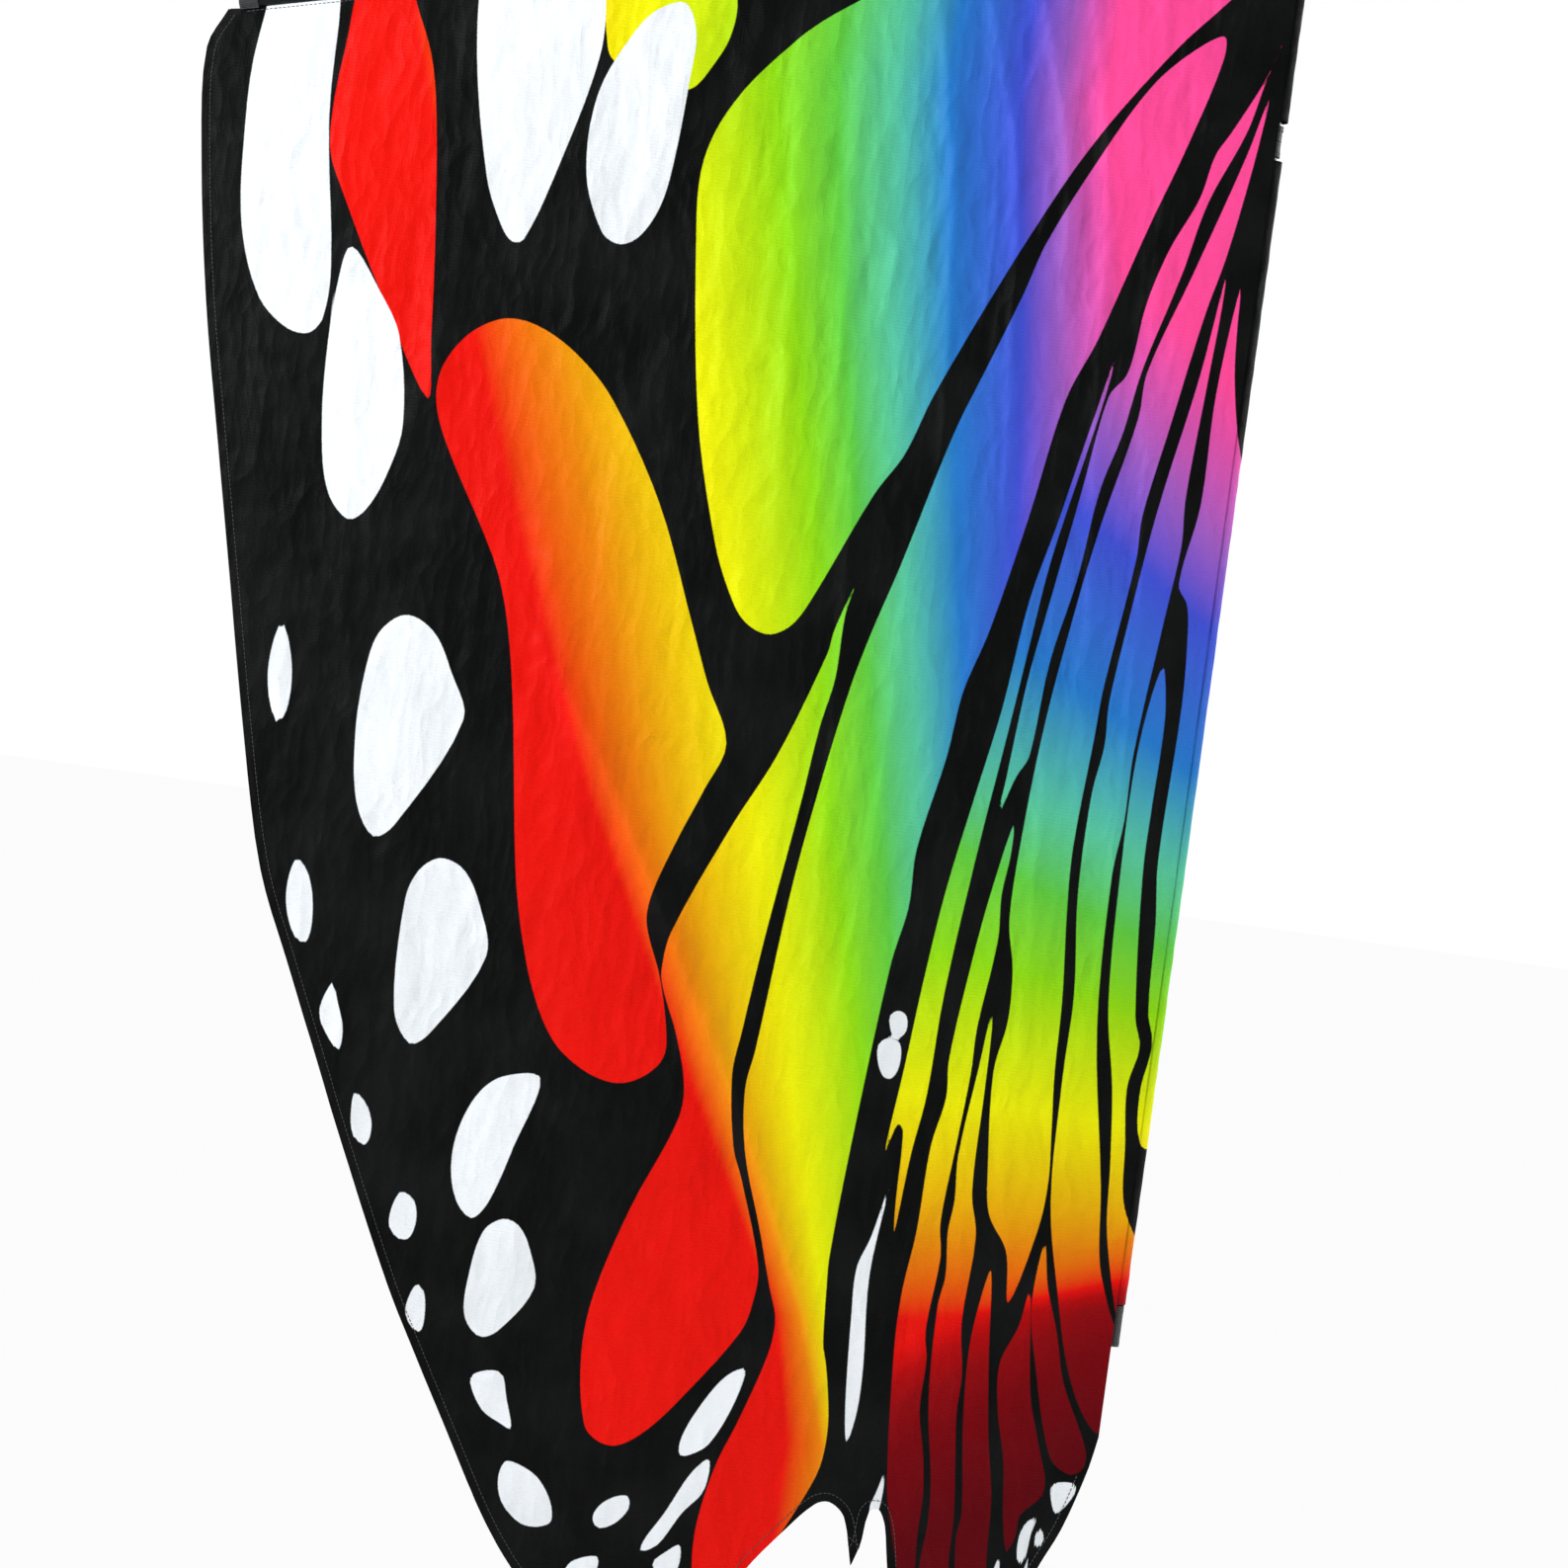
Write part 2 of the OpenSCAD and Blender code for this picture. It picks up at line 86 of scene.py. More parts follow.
# Dyed cells between the black veins
CELLS = {
    "tip": [(749, 160), (757, 233), (760, 282), (757, 318), (743, 348), (702, 424), (652, 505), (656, 454),
            (664, 374), (676, 279), (686, 232), (701, 197), (723, 156)],
    "upper": [(570, 127), (555, 165), (549, 193), (542, 212), (511, 228), (477, 229), (458, 202), (449, 179),
              (448, 151), (463, 112)],
    "outer": [(600, 432), (572, 434), (537, 453), (504, 485), (455, 563), (416, 655), (397, 701), (375, 748),
              (388, 788), (404, 831), (418, 877), (419, 901), (402, 944), (390, 994), (393, 1011), (410, 1027),
              (429, 1032), (454, 1025), (481, 1005), (502, 969), (518, 923), (530, 872), (552, 730), (566, 667),
              (582, 625), (632, 539), (645, 505), (643, 476), (626, 448)],
    "main": [(354, 141), (390, 171), (425, 212), (448, 251), (458, 289), (456, 337), (434, 488), (406, 589),
             (387, 631), (373, 649), (353, 656), (335, 645), (320, 617), (284, 532), (264, 497), (247, 446),
             (195, 324), (148, 229), (91, 143), (56, 101), (32, 69), (26, 32), (136, 47), (252, 87), (305, 111)],
    "second": [(54, 127), (82, 147), (107, 176), (136, 229), (173, 310), (187, 357), (207, 416), (227, 475),
               (255, 586), (271, 643), (282, 690), (296, 775), (307, 859), (318, 990), (322, 1022), (315, 1073),
               (297, 1127), (267, 1212), (244, 1230), (225, 1250), (231, 1223), (235, 1171), (236, 1147),
               (231, 1057), (219, 906), (211, 859), (211, 812), (197, 734), (191, 680), (177, 630), (158, 535),
               (141, 435), (122, 384), (92, 283), (73, 224), (52, 146)],
    "third": [(289, 607), (301, 645), (304, 665), (333, 752), (361, 812), (398, 904), (402, 937), (398, 953),
              (383, 987), (371, 1028), (373, 1057), (401, 1131), (421, 1205), (424, 1254), (414, 1309),
              (401, 1321), (385, 1322), (365, 1308), (342, 1281), (299, 1218), (292, 1191), (292, 1163),
              (315, 1095), (325, 1070), (334, 1011), (331, 978), (323, 900), (309, 789), (302, 724), (295, 684),
              (294, 632)],
    "foot": [(275, 1184), (272, 1208), (275, 1235), (292, 1292), (304, 1326), (313, 1375), (312, 1413),
             (302, 1455), (281, 1460), (269, 1418), (251, 1387), (225, 1331), (219, 1306), (220, 1270),
             (235, 1211), (258, 1190)],
    "hind first": [(106, 396), (118, 454), (134, 535), (148, 600), (158, 690), (170, 762), (183, 841), (191, 916),
              (197, 990), (203, 1057), (196, 1034), (191, 1037), (189, 1094), (187, 1121), (182, 1056),
              (176, 1009), (173, 924), (161, 797), (151, 711), (144, 645), (135, 565), (118, 474), (108, 417)],
    "hind second": [(6, 125), (16, 157), (38, 204), (48, 223), (56, 260), (75, 305), (87, 350), (94, 407), (107, 428),
               (118, 506), (134, 616), (141, 667), (147, 745), (149, 773), (139, 742), (131, 725), (125, 647),
               (112, 578), (104, 505), (92, 458), (83, 403), (62, 323), (49, 263), (25, 201), (15, 157)],
    "hind second, lower": [(136, 781), (147, 840), (155, 901), (162, 977), (160, 1007), (167, 1048), (169, 1117),
                      (174, 1167), (174, 1215), (165, 1323), (157, 1358), (137, 1420), (132, 1415), (135, 1363),
                      (135, 1327), (139, 1297), (147, 1260), (147, 1219), (151, 1196), (147, 1136), (151, 1108),
                      (147, 1047), (143, 985), (143, 948), (136, 876), (138, 839), (135, 806)],
    "hind third": [(133, 935), (137, 977), (144, 1052), (142, 1089), (144, 1114), (141, 1150), (144, 1175),
              (141, 1251), (130, 1318), (128, 1350), (130, 1388), (122, 1430), (106, 1440), (100, 1419),
              (107, 1379), (108, 1339), (117, 1260), (117, 1227), (123, 1185), (121, 1115), (129, 1080),
              (130, 1003), (131, 947)],
    "hind third, lower": [(106, 1140), (114, 1200), (111, 1265), (102, 1338), (104, 1359), (96, 1410), (79, 1432),
                     (72, 1407), (77, 1375), (80, 1323), (89, 1274), (98, 1205), (103, 1153)],
    "hind fourth": [(11, 172), (23, 221), (54, 324), (79, 405), (81, 443), (100, 536), (112, 615), (122, 695),
               (128, 786), (129, 858), (121, 897), (119, 939), (125, 981), (119, 1058), (113, 1096), (95, 1124),
               (88, 1165), (72, 1102), (69, 1063), (72, 1023), (76, 975), (78, 915), (84, 843), (86, 793),
               (81, 702), (79, 661), (67, 556), (67, 520), (56, 454), (39, 353), (28, 304), (18, 241), (12, 191)],
    "hind fourth, lower": [(72, 1153), (77, 1183), (88, 1213), (85, 1249), (74, 1294), (69, 1334), (62, 1364),
                      (56, 1348), (56, 1334), (38, 1312), (49, 1272), (60, 1236), (69, 1168)],
    "hind fourth, foot": [(65, 1113), (69, 1163), (61, 1205), (38, 1283), (21, 1296), (9, 1291), (9, 1275),
                     (35, 1222), (45, 1185), (58, 1147)],
    "hind fifth": [(26, 319), (36, 401), (56, 518), (67, 611), (73, 674), (72, 708), (77, 749), (77, 830), (69, 910),
              (69, 974), (65, 1079), (48, 1157), (34, 1208), (16, 1246), (-1, 1261), (-12, 1206), (9, 1152),
              (19, 1121), (26, 1063), (47, 935), (52, 811), (48, 766), (48, 711), (38, 603), (32, 539),
              (34, 501), (29, 404), (26, 347)],
    "hind sixth": [(34, 638), (45, 709), (45, 822), (40, 918), (28, 981), (21, 1042), (15, 1104), (-13, 1197),
              (-21, 1160), (-19, 1120), (5, 1076), (11, 1027), (16, 979), (10, 946), (17, 923), (27, 807),
              (27, 747), (26, 706), (27, 670)],
    "hind seventh": [(13, 326), (21, 415), (21, 505), (30, 571), (21, 586), (17, 612), (14, 668), (16, 795),
                (11, 845), (7, 918), (0, 942), (5, 982), (-2, 1025), (-26, 1022), (-18, 732), (-15, 491),
                (-1, 444), (8, 397), (11, 361)],
}

# Cells that lie side by side are kept in different layers, so that the vein between them stays crisp
LAYERS = {
    "cell_a": ["tip", "main", "third", "hind second", "hind second, lower", "hind third, lower", "hind fifth"],
    "cell_b": ["upper", "outer", "second", "foot", "hind first", "hind fourth", "hind fourth, foot", "hind sixth"],
    "cell_c": ["hind third", "hind fourth, lower", "hind seventh"],
}

# White spots and flecks on the black
WHITE_SPOTS = [
    [(804, 111), (828, 235), (828, 316), (820, 387), (799, 441), (774, 463), (755, 465), (745, 451), (744, 409),
     (762, 291), (771, 163)],
    [(656, 147), (650, 227), (629, 321), (615, 353), (603, 369), (593, 367), (573, 305), (552, 213), (553, 168),
     (565, 118), (614, 97), (645, 109)],
    [(489, 159), (477, 183), (477, 215), (481, 288), (487, 325), (500, 351), (515, 360), (531, 352), (550, 306),
     (549, 241), (525, 185), (509, 166)],
    [(730, 391), (737, 424), (738, 481), (734, 537), (723, 588), (703, 610), (689, 600), (676, 569), (669, 528),
     (682, 457), (702, 424)],
    [(645, 680), (665, 697), (672, 730), (673, 779), (665, 834), (648, 861), (632, 850), (588, 758), (603, 721),
     (621, 691)],
    [(591, 871), (607, 883), (615, 908), (612, 997), (596, 1023), (581, 1013), (544, 945), (555, 904), (571, 878)],
    [(487, 1036), (517, 1039), (535, 1055), (547, 1085), (549, 1117), (541, 1144), (527, 1156), (515, 1141),
     (501, 1094)],
    [(501, 1153), (516, 1165), (523, 1203), (522, 1235), (508, 1250), (493, 1243), (469, 1205), (477, 1174),
     (488, 1157)],
    [(510, 1283), (487, 1276), (479, 1297), (472, 1321), (480, 1318), (498, 1308)],
    [(473, 1347), (477, 1362), (471, 1381), (452, 1396), (431, 1392), (432, 1376), (445, 1357), (462, 1348)],
    [(372, 1361), (389, 1368), (397, 1381), (392, 1390), (379, 1385), (369, 1371)],
    [(389, 1413), (408, 1419), (413, 1428), (402, 1435), (389, 1426)],
    [(310, 1323), (323, 1336), (340, 1371), (353, 1394), (355, 1404), (342, 1397), (326, 1369), (311, 1349)],
    [(324, 1395), (336, 1403), (344, 1412), (337, 1421), (324, 1416)],
    [(291, 1247), (306, 1255), (324, 1283), (335, 1310), (334, 1323), (325, 1321), (312, 1311), (297, 1278)],
    [(196, 1086), (205, 1128), (213, 1153), (212, 1192), (207, 1264), (202, 1294), (197, 1268), (197, 1232),
     (202, 1158)],
    [(744, 700), (749, 717), (749, 749), (738, 780), (731, 772), (730, 742), (736, 715)],
    [(706, 887), (711, 905), (709, 929), (698, 952), (689, 952), (688, 926), (695, 899)],
    [(664, 982), (672, 1007), (664, 1024), (652, 1036), (651, 1018), (659, 995)],
    [(634, 1068), (635, 1085), (631, 1103), (620, 1109), (617, 1094), (623, 1077)],
    [(587, 1143), (593, 1168), (585, 1180), (575, 1179), (571, 1164), (575, 1148)],
    [(564, 1215), (570, 1237), (562, 1251), (555, 1252), (554, 1235), (557, 1220)],
    [(32, 1305), (15, 1303), (12, 1309), (26, 1329), (33, 1313)],
    [(41, 1333), (44, 1345), (47, 1371), (52, 1371), (54, 1354), (50, 1339)],
    [(37, 1342), (41, 1348), (40, 1356), (35, 1357), (33, 1350)],
    [(67, 1369), (71, 1383), (71, 1399), (66, 1392)],
    [(44, 1367), (47, 1381), (50, 1396), (44, 1391)],
    [(168, 1314), (173, 1332), (177, 1347), (169, 1346)],
    [(208, 943), (214, 948), (212, 959), (208, 965), (202, 963), (199, 956), (201, 946)],
    [(213, 966), (220, 972), (219, 985), (213, 997), (206, 998), (201, 987), (203, 969)],
]

# Where each dye lies: across the fore wing at these depths below the nose,
# and down the hind wing at the spine and 150 mm out
DYES = ["rose", "violet", "royal", "sky", "sea", "leaf", "lime", "lemon", "amber", "scarlet"]
FORE_DEPTHS = [200, 400, 600, 800, 1000, 1200, 1300]
FORE_DYES = {
    "rose": [140, 90, 60, 40, 20, 0, -20],
    "violet": [178, 150, 112, 72, 50, 25, 10],
    "royal": [210, 181, 160, 122, 85, 50, 30],
    "sky": [268, 238, 205, 168, 120, 72, 50],
    "sea": [312, 287, 248, 207, 160, 115, 90],
    "leaf": [360, 328, 285, 244, 195, 145, 120],
    "lime": [412, 366, 320, 284, 228, 180, 150],
    "lemon": [520, 455, 395, 345, 290, 232, 205],
    "amber": [655, 580, 505, 437, 353, 254, 222],
    "scarlet": [705, 640, 565, 482, 378, 272, 250],
}
HIND_DYES = {
    "rose": (400, 290), "violet": (525, 405), "royal": (592, 500), "sky": (712, 640), "sea": (795, 750),
    "leaf": (862, 815), "lime": (915, 895), "lemon": (1010, 1010), "amber": (1115, 1135), "scarlet": (1160, 1185),
}


# ---- curves and distances on the wing ----


def smooth_line(points, steps=6, closed=False):
    """A smooth curve through the points that stays close to their corners."""
    p, n = np.array(points, float), len(points)
    spans = n if closed else n - 1
    t = np.arange(steps)[:, None] / steps
    out = []
    for i in range(spans):
        a, b, c, d = (p[(i + k) % n if closed else min(max(i + k, 0), n - 1)] for k in (-1, 0, 1, 2))
        before, here, after = (np.hypot(*(end - start)) + 1e-6 for start, end in ((a, b), (b, c), (c, d)))
        leave, arrive = (c - a) / (before + here) * here, (d - b) / (here + after) * here
        out.append(
            (2 * t**3 - 3 * t**2 + 1) * b + (t**3 - 2 * t**2 + t) * leave
            + (3 * t**2 - 2 * t**3) * c + (t**3 - t**2) * arrive
        )
    if not closed:
        out.append(p[-1:])
    return np.concatenate(out)


def step(low, high, x):
    t = np.clip((x - low) / (high - low), 0, 1)
    return t * t * (3 - 2 * t)


def segment_distance(x, y, a, b):
    """Distance from points to a segment, how far along it, and on which side."""
    dx, dy = b[0] - a[0], b[1] - a[1]
    along = np.clip(((x - a[0]) * dx + (y - a[1]) * dy) / (dx * dx + dy * dy + 1e-9), 0, 1)
    ex, ey = x - a[0] - along * dx, y - a[1] - along * dy
    return np.hypot(ex, ey), along, np.sign(dx * ey - dy * ex)


def inside_distance(x, y, outline, reach=14.0):
    """Signed distance to a closed outline, negative inside, kept to the reach."""
    out = np.full(x.shape, reach)
    low, high = outline.min(0) - reach, outline.max(0) + reach
    near = np.flatnonzero((x > low[0]) & (x < high[0]) & (y > low[1]) & (y < high[1]))
    if not len(near):
        return out
    px, py = x[near], y[near]
    best, odd = np.full(px.shape, 1e9), np.zeros(px.shape, bool)
    for a, b in zip(outline, np.roll(outline, -1, 0)):
        best = np.minimum(best, segment_distance(px, py, a, b)[0])
        if a[1] != b[1]:
            crosses = (a[1] > py) != (b[1] > py)
            odd ^= crosses & (px < (b[0] - a[0]) * (py - a[1]) / (b[1] - a[1]) + a[0])
    out[near] = np.clip(np.where(odd, -best, best), -reach, reach)
    return out


def nearest_outline(x, y, outlines):
    """Signed distance to the nearest of several closed outlines."""
    return np.min([inside_distance(x, y, smooth_line(points, 5, closed=True)) for points in outlines], axis=0)


def lead_at(s, drop):
    return s * math.cos(DROOP) - drop * math.sin(DROOP), s * math.sin(DROOP) + drop * math.cos(DROOP)


TIP_D = lead_at(TIP_S, LEAD_CLEAR)[1] + 1.5


def on_wing(share):
    first = MARGIN[0][1]
    return share[0] * WING_W, TIP_D + (share[1] - first) / (1 - first) * (WING_H - TIP_D)


FREE_EDGE = np.concatenate([smooth_line([on_wing(p) for p in part], 4) for part in (MARGIN, NOTCH, LOBE)])
keep = np.concatenate([[True], np.hypot(*np.diff(FREE_EDGE, axis=0).T) > 1e-6])
FREE_EDGE = FREE_EDGE[keep]
WIDEST = int(np.argmax(FREE_EDGE[:, 0]))


# ---- the print's fields ----


def print_fields(u, d):
    """How deep each point is in each layer of cells and in the spots, and its dye, which runs on past scarlet into dark
    reds towards the hind wing's foot, partly the print's deeper red and partly painted shade.
    """
    fields = {layer: nearest_outline(u, d, [CELLS[name] for name in names]) for layer, names in LAYERS.items()}
    fields["spot"] = nearest_outline(u, d, WHITE_SPOTS)
    fore, hind = (
        nearest_outline(u, d, [points for name, points in CELLS.items() if name.startswith("hind") == back])
        for back in (False, True)
    )
    steps = np.linspace(0, 1, len(DYES))
    lines = np.array([np.interp(d, FORE_DEPTHS, FORE_DYES[dye]) for dye in DYES])
    near, far = np.array([HIND_DYES[dye] for dye in DYES], float).T
    lean = np.clip((u - 15) / 135, -0.1, 1.4)
    rows = near[:, None] + (far - near)[:, None] * lean[None]
    fore_dye, hind_dye = np.ones(u.shape), np.ones(u.shape)
    for i in range(len(DYES) - 1):
        for out, value, low, high in ((fore_dye, u, lines[i], lines[i + 1]), (hind_dye, d, rows[i], rows[i + 1])):
            t = (value - low) / np.maximum(high - low, 1)
            inside = (t < 1) & (t >= 0)
            out[inside] = (steps[i] + t * (steps[i + 1] - steps[i]))[inside]
            if i == 0:
                out[t < 0] = 0.0
    # Past the scarlet row the hind wing darkens towards its foot and towards the spine: partly the print's deeper red,
    # partly painted shade.
    deep_red_and_shade = np.clip((d - rows[-1] + 25 + 0.5 * (75 - u)) / 180, 0, 1)
    fields["dye"] = np.where(hind < fore, hind_dye + 0.25 * deep_red_and_shade, fore_dye)
    return fields


# ---- how the cloth lies ----


def noise(x, y, seed):
    """Smooth random values from -1 to 1 on a lattice of unit cells."""
    lattice = np.random.default_rng(seed).uniform(-1, 1, (64, 64))
    xi, yi = np.floor(x).astype(int), np.floor(y).astype(int)
    fx, fy = x - xi, y - yi
    fx, fy = fx * fx * (3 - 2 * fx), fy * fy * (3 - 2 * fy)
    pick = lambda a, b: lattice[(xi + a) % 64, (yi + b) % 64]
    return (pick(0, 0) * (1 - fx) + pick(1, 0) * fx) * (1 - fy) + (pick(0, 1) * (1 - fx) + pick(1, 1) * fx) * fy


# Soft folds as lines across and down, with height and half width
FOLDS = [
    ([(535, 690), (470, 780), (418, 873), (375, 950), (333, 1023), (277, 1136), (225, 1245)], 7.5, 15),
    ([(560, 560), (530, 640), (500, 730)], 2.2, 14),
    ([(395, 130), (380, 300), (365, 470), (352, 620)], 2.4, 10),
    ([(350, 90), (338, 230), (330, 380), (322, 520)], 2.6, 9),
    ([(300, 70), (272, 190), (252, 300), (240, 430), (232, 560)], 3.4, 10),
    ([(268, 60), (230, 170), (205, 260), (190, 400), (178, 540)], 3.0, 9),
    ([(222, 60), (192, 150), (165, 250), (150, 380)], 2.6, 8),
    ([(172, 60), (150, 160), (128, 280), (118, 420), (100, 560), (92, 700)], 2.4, 9),
    ([(318, 420), (300, 560), (292, 700), (286, 850), (280, 980)], 2.0, 11),
    ([(250, 560), (246, 700), (250, 840), (262, 980)], 1.8, 9),
    ([(70, 420), (62, 560), (55, 700), (52, 860), (60, 1010)], 1.8, 9),
    ([(130, 560), (120, 700), (112, 860), (105, 1000)], 1.6, 8),
    ([(640, 190), (640, 330), (655, 480), (690, 600)], 2.0, 16),
    ([(480, 150), (492, 260), (520, 380)], 1.8, 14),
]


def creases(count=420):
    """Short sharp creases left from folding and handling: place, direction, half length, height and half width."""
    draw = random.Random(11)
    rows = []
    for _ in range(count):
        u, d = draw.uniform(20, 850), draw.uniform(60, 1450)
        steep = draw.random() < 0.6
        angle = draw.gauss(math.pi / 2 + 0.1, 0.35) if steep else draw.uniform(0, math.pi)
        length = draw.uniform(18, 75)
        height = draw.choice((-1, 1)) * draw.uniform(0.3, 1.1)
        rows.append((u, d, math.cos(angle), math.sin(angle), length, height, draw.uniform(2.8, 7)))
    return rows


CREASES = creases()


def sail_lift(u, d):
    """How far the cloth stands out from the wing's flat plane, in millimetres."""
    drop = d * math.cos(DROOP) - u * math.sin(DROOP)  # below the leading edge
    free = step(LEAD_CLEAR, 75, drop) * step(0, 55, u)
    lift = 4.6 + 1.6 * noise(u / 170 + 3, d / 260, 1) + 1.0 * noise(u / 75, d / 190 + 5, 2)
    pleats = noise(u / 24 + 0.5 * noise(u / 90, d / 160, 4), d / 300 + 2, 3)
    upper = step(900, 250, d) * step(620, 380, u)
    lift += (0.4 + 1.0 * upper) * (1 - 2 * np.sqrt(np.abs(pleats) + 0.004))
    for wide, tall, height, seed in ((15, 95, 0.55, 6), (9, 34, 0.22, 7), (34, 48, 0.5, 8)):
        ridge = noise(u / wide + noise(u / 60, d / 70, seed + 20), d / tall + seed, seed)
        lift += height * (0.45 + upper) * (1 - 2 * np.sqrt(np.abs(ridge) + 0.004))
    for line, height, width in FOLDS:
        points = smooth_line(line, 5)
        low, high = points.min(0) - 5 * width, points.max(0) + 5 * width
        near = np.flatnonzero((u > low[0]) & (u < high[0]) & (d > low[1]) & (d < high[1]))
        if not len(near):
            continue
        x, y = u[near], d[near]
        best, side, along = np.full(x.shape, 1e9), np.zeros(x.shape), np.zeros(x.shape)
        for i, (a, b) in enumerate(zip(points[:-1], points[1:])):
            gap, part, way = segment_distance(x, y, a, b)
            closer = gap < best
            best, side = np.where(closer, gap, best), np.where(closer, way, side)
            along = np.where(closer, (i + part) / (len(points) - 1), along)
        ends = np.sin(np.pi * np.clip(along, 0.02, 0.98)) ** 0.5
        across = best * side / (0.8 * width)
        lean = 0.25 * np.tanh(2.2 * across) * np.exp(-(across / 2.6) ** 2)
        lift[near] += 1.2 * height * ends * (np.exp(-np.abs(across) ** 1.4) + lean)
    for cu, cd, dx, dy, length, height, width in CREASES:
        near = np.flatnonzero((np.abs(u - cu) < length + 10) & (np.abs(d - cd) < length + 10))
        if not len(near):
            continue
        x, y = u[near] - cu, d[near] - cd
        along, across = x * dx + y * dy, (y * dx - x * dy) / width
        lift[near] += height * np.exp(-np.abs(across)) * np.clip(1 - (along / length) ** 2, 0, 1)
    lift = np.maximum(lift, 0) + 0.15
    return np.minimum(lift * free, 13.5)


# ---- shader maths ----


class Paint:
    """A material being built, with short ways to add its nodes."""

    def __init__(self, name, **surface):
        self.material = bpy.data.materials.new(name)
        self.material.use_nodes = True
        self.tree = self.material.node_tree
        self.shader = self.tree.nodes["Principled BSDF"]
        for socket, value in surface.items():
            self.shader.inputs[socket.replace("_", " ")].default_value = value
        self.material.diffuse_color = (*surface["Base_Color"][:3], 1) if "Base_Color" in surface else (0.5, 0.5, 0.5, 1)

    def node(self, kind, settings=None, output=0, **sockets):
        made = self.tree.nodes.new(kind)
        for name, value in (settings or {}).items():
            if name == "stops":
                ramp = made.color_ramp
                while len(ramp.elements) < len(value):
                    ramp.elements.new(0.5)
                for element, (at, colour) in zip(ramp.elements, value):
                    element.position, element.color = at, (*colour, 1)
            else:
                setattr(made, name, value)
        for name, value in sockets.items():
            numbered = name[0] == "i" and name[1:].isdigit()
            socket = made.inputs[int(name[1:]) if numbered else name.replace("_", " ")]
            if isinstance(value, Signal):
                self.tree.links.new(value.socket, socket)
            else:
                socket.default_value = value
        return Signal(self, made.outputs[output])

    def feed(self, **sockets):
        for name, value in sockets.items():
            self.tree.links.new(value.socket, self.shader.inputs[name.replace("_", " ")])

    def place(self, scale=(1, 1, 1), turn=(0, 0, 0)):
        at = self.node("ShaderNodeTexCoord", output=3)
        return self.node("ShaderNodeMapping", i0=at, i2=turn, i3=scale)

    def attribute(self, name):
        return self.node("ShaderNodeAttribute", {"attribute_name": name}, output=2)

    def noise(self, at, scale, detail=2.0, rough=0.5):
        return self.node("ShaderNodeTexNoise", Vector=at, Scale=scale, Detail=detail, Roughness=rough)

    def noise_colour(self, at, scale):
        return self.node("ShaderNodeTexNoise", output=1, Vector=at, Scale=scale, Detail=2.0)

    def facets(self, at, scale):
        """Flat-sided cells with sharp ridges, as in cloth that has been crumpled."""
        return self.node("ShaderNodeTexVoronoi", {"feature": "F1", "distance": "EUCLIDEAN"}, Vector=at, Scale=scale)

    def wave(self, at, scale, direction="Z", bend=0.0):
        return self.node(
            "ShaderNodeTexWave", {"bands_direction": direction}, output=1,
            Vector=at, Scale=scale, Distortion=bend, i3=1.0, i4=4.0,
        )

    def mix(self, share, a, b):
        return self.node("ShaderNodeMix", {"data_type": "RGBA"}, output=2, i0=share, i6=a, i7=b)

    def deepen(self, share, colour, depth):
        """The colour, darkened evenly where share is high."""
        settings = {"data_type": "RGBA", "blend_type": "MULTIPLY"}
        return self.node("ShaderNodeMix", settings, output=2, i0=share, i6=colour, i7=(depth, depth, depth, 1))

    def bump(self, height, distance, strength=1.0, under=None):
        sockets = {"Strength": strength, "Distance": distance, "Height": height}
        if under is not None:
            sockets["Normal"] = under
        return self.node("ShaderNodeBump", **sockets)


class Signal:
    """A shader output that takes part in sums."""

    def __init__(self, paint, socket):
        self.paint, self.socket = paint, socket

    def _maths(self, operation, a, b=0.0, c=0.0):
        return self.paint.node("ShaderNodeMath", {"operation": operation}, i0=a, i1=b, i2=c)

    def __add__(self, other):
        return self._maths("ADD", self, other)

    __radd__ = __add__

    def __sub__(self, other):
        return self._maths("SUBTRACT", self, other)

    def __rsub__(self, other):
        return self._maths("SUBTRACT", other, self)

    def __mul__(self, other):
        return self._maths("MULTIPLY", self, other)

    __rmul__ = __mul__

    def least(self, other):
        return self._maths("MINIMUM", self, other)

    def above(self, low, high):
        """0 below low, 1 above high, with a soft run between them."""
        return self.paint.node(
            "ShaderNodeMapRange", {"interpolation_type": "SMOOTHSTEP"}, Value=self, i1=low, i2=high, i3=0.0, i4=1.0
        )


# ---- materials ----

BLACK = (0.0014, 0.0017, 0.0017, 1)
WHITE = (0.80, 0.84, 0.88, 1)
DYE_SHARE = 0.8  # the last plain dye's place on the ramp, before the dark reds, which are partly the print's deeper red and partly painted shade
DYE_AND_SHADE_STOPS = [
    (0.000, (1.00, 0.070, 0.320)),
    (0.089, (0.335, 0.105, 0.520)),
    (0.178, (0.052, 0.080, 0.640)),
    (0.267, (0.018, 0.180, 0.560)),
    (0.356, (0.090, 0.520, 0.330)),
    (0.444, (0.110, 0.560, 0.050)),
    (0.533, (0.260, 0.680, 0.006)),
    (0.622, (0.800, 0.800, 0.001)),
    (0.711, (0.750, 0.200, 0.002)),
    (0.800, (0.760, 0.004, 0.002)),
    # Dark reds for the hind wing's foot: partly the print's deeper red, partly painted shade.
    (0.828, (0.420, 0.001, 0.002)),
    (0.858, (0.260, 0.001, 0.003)),
    (0.900, (0.180, 0.000, 0.003)),
    (1.000, (0.105, 0.000, 0.003)),
]


def two_tone(paint, colour, lighter, scale=55.0, low=0.35, high=0.7):
    """A base colour with soft patches that are a little lighter."""
    patches = paint.noise(paint.place(), scale, 3.0).above(low, high)
    return paint.mix(patches, colour, lighter)


def wave_scale(mm):
    """Scale of a wave texture whose bands lie this many millimetres apart."""
    return math.pi / (10 * mm * MM)


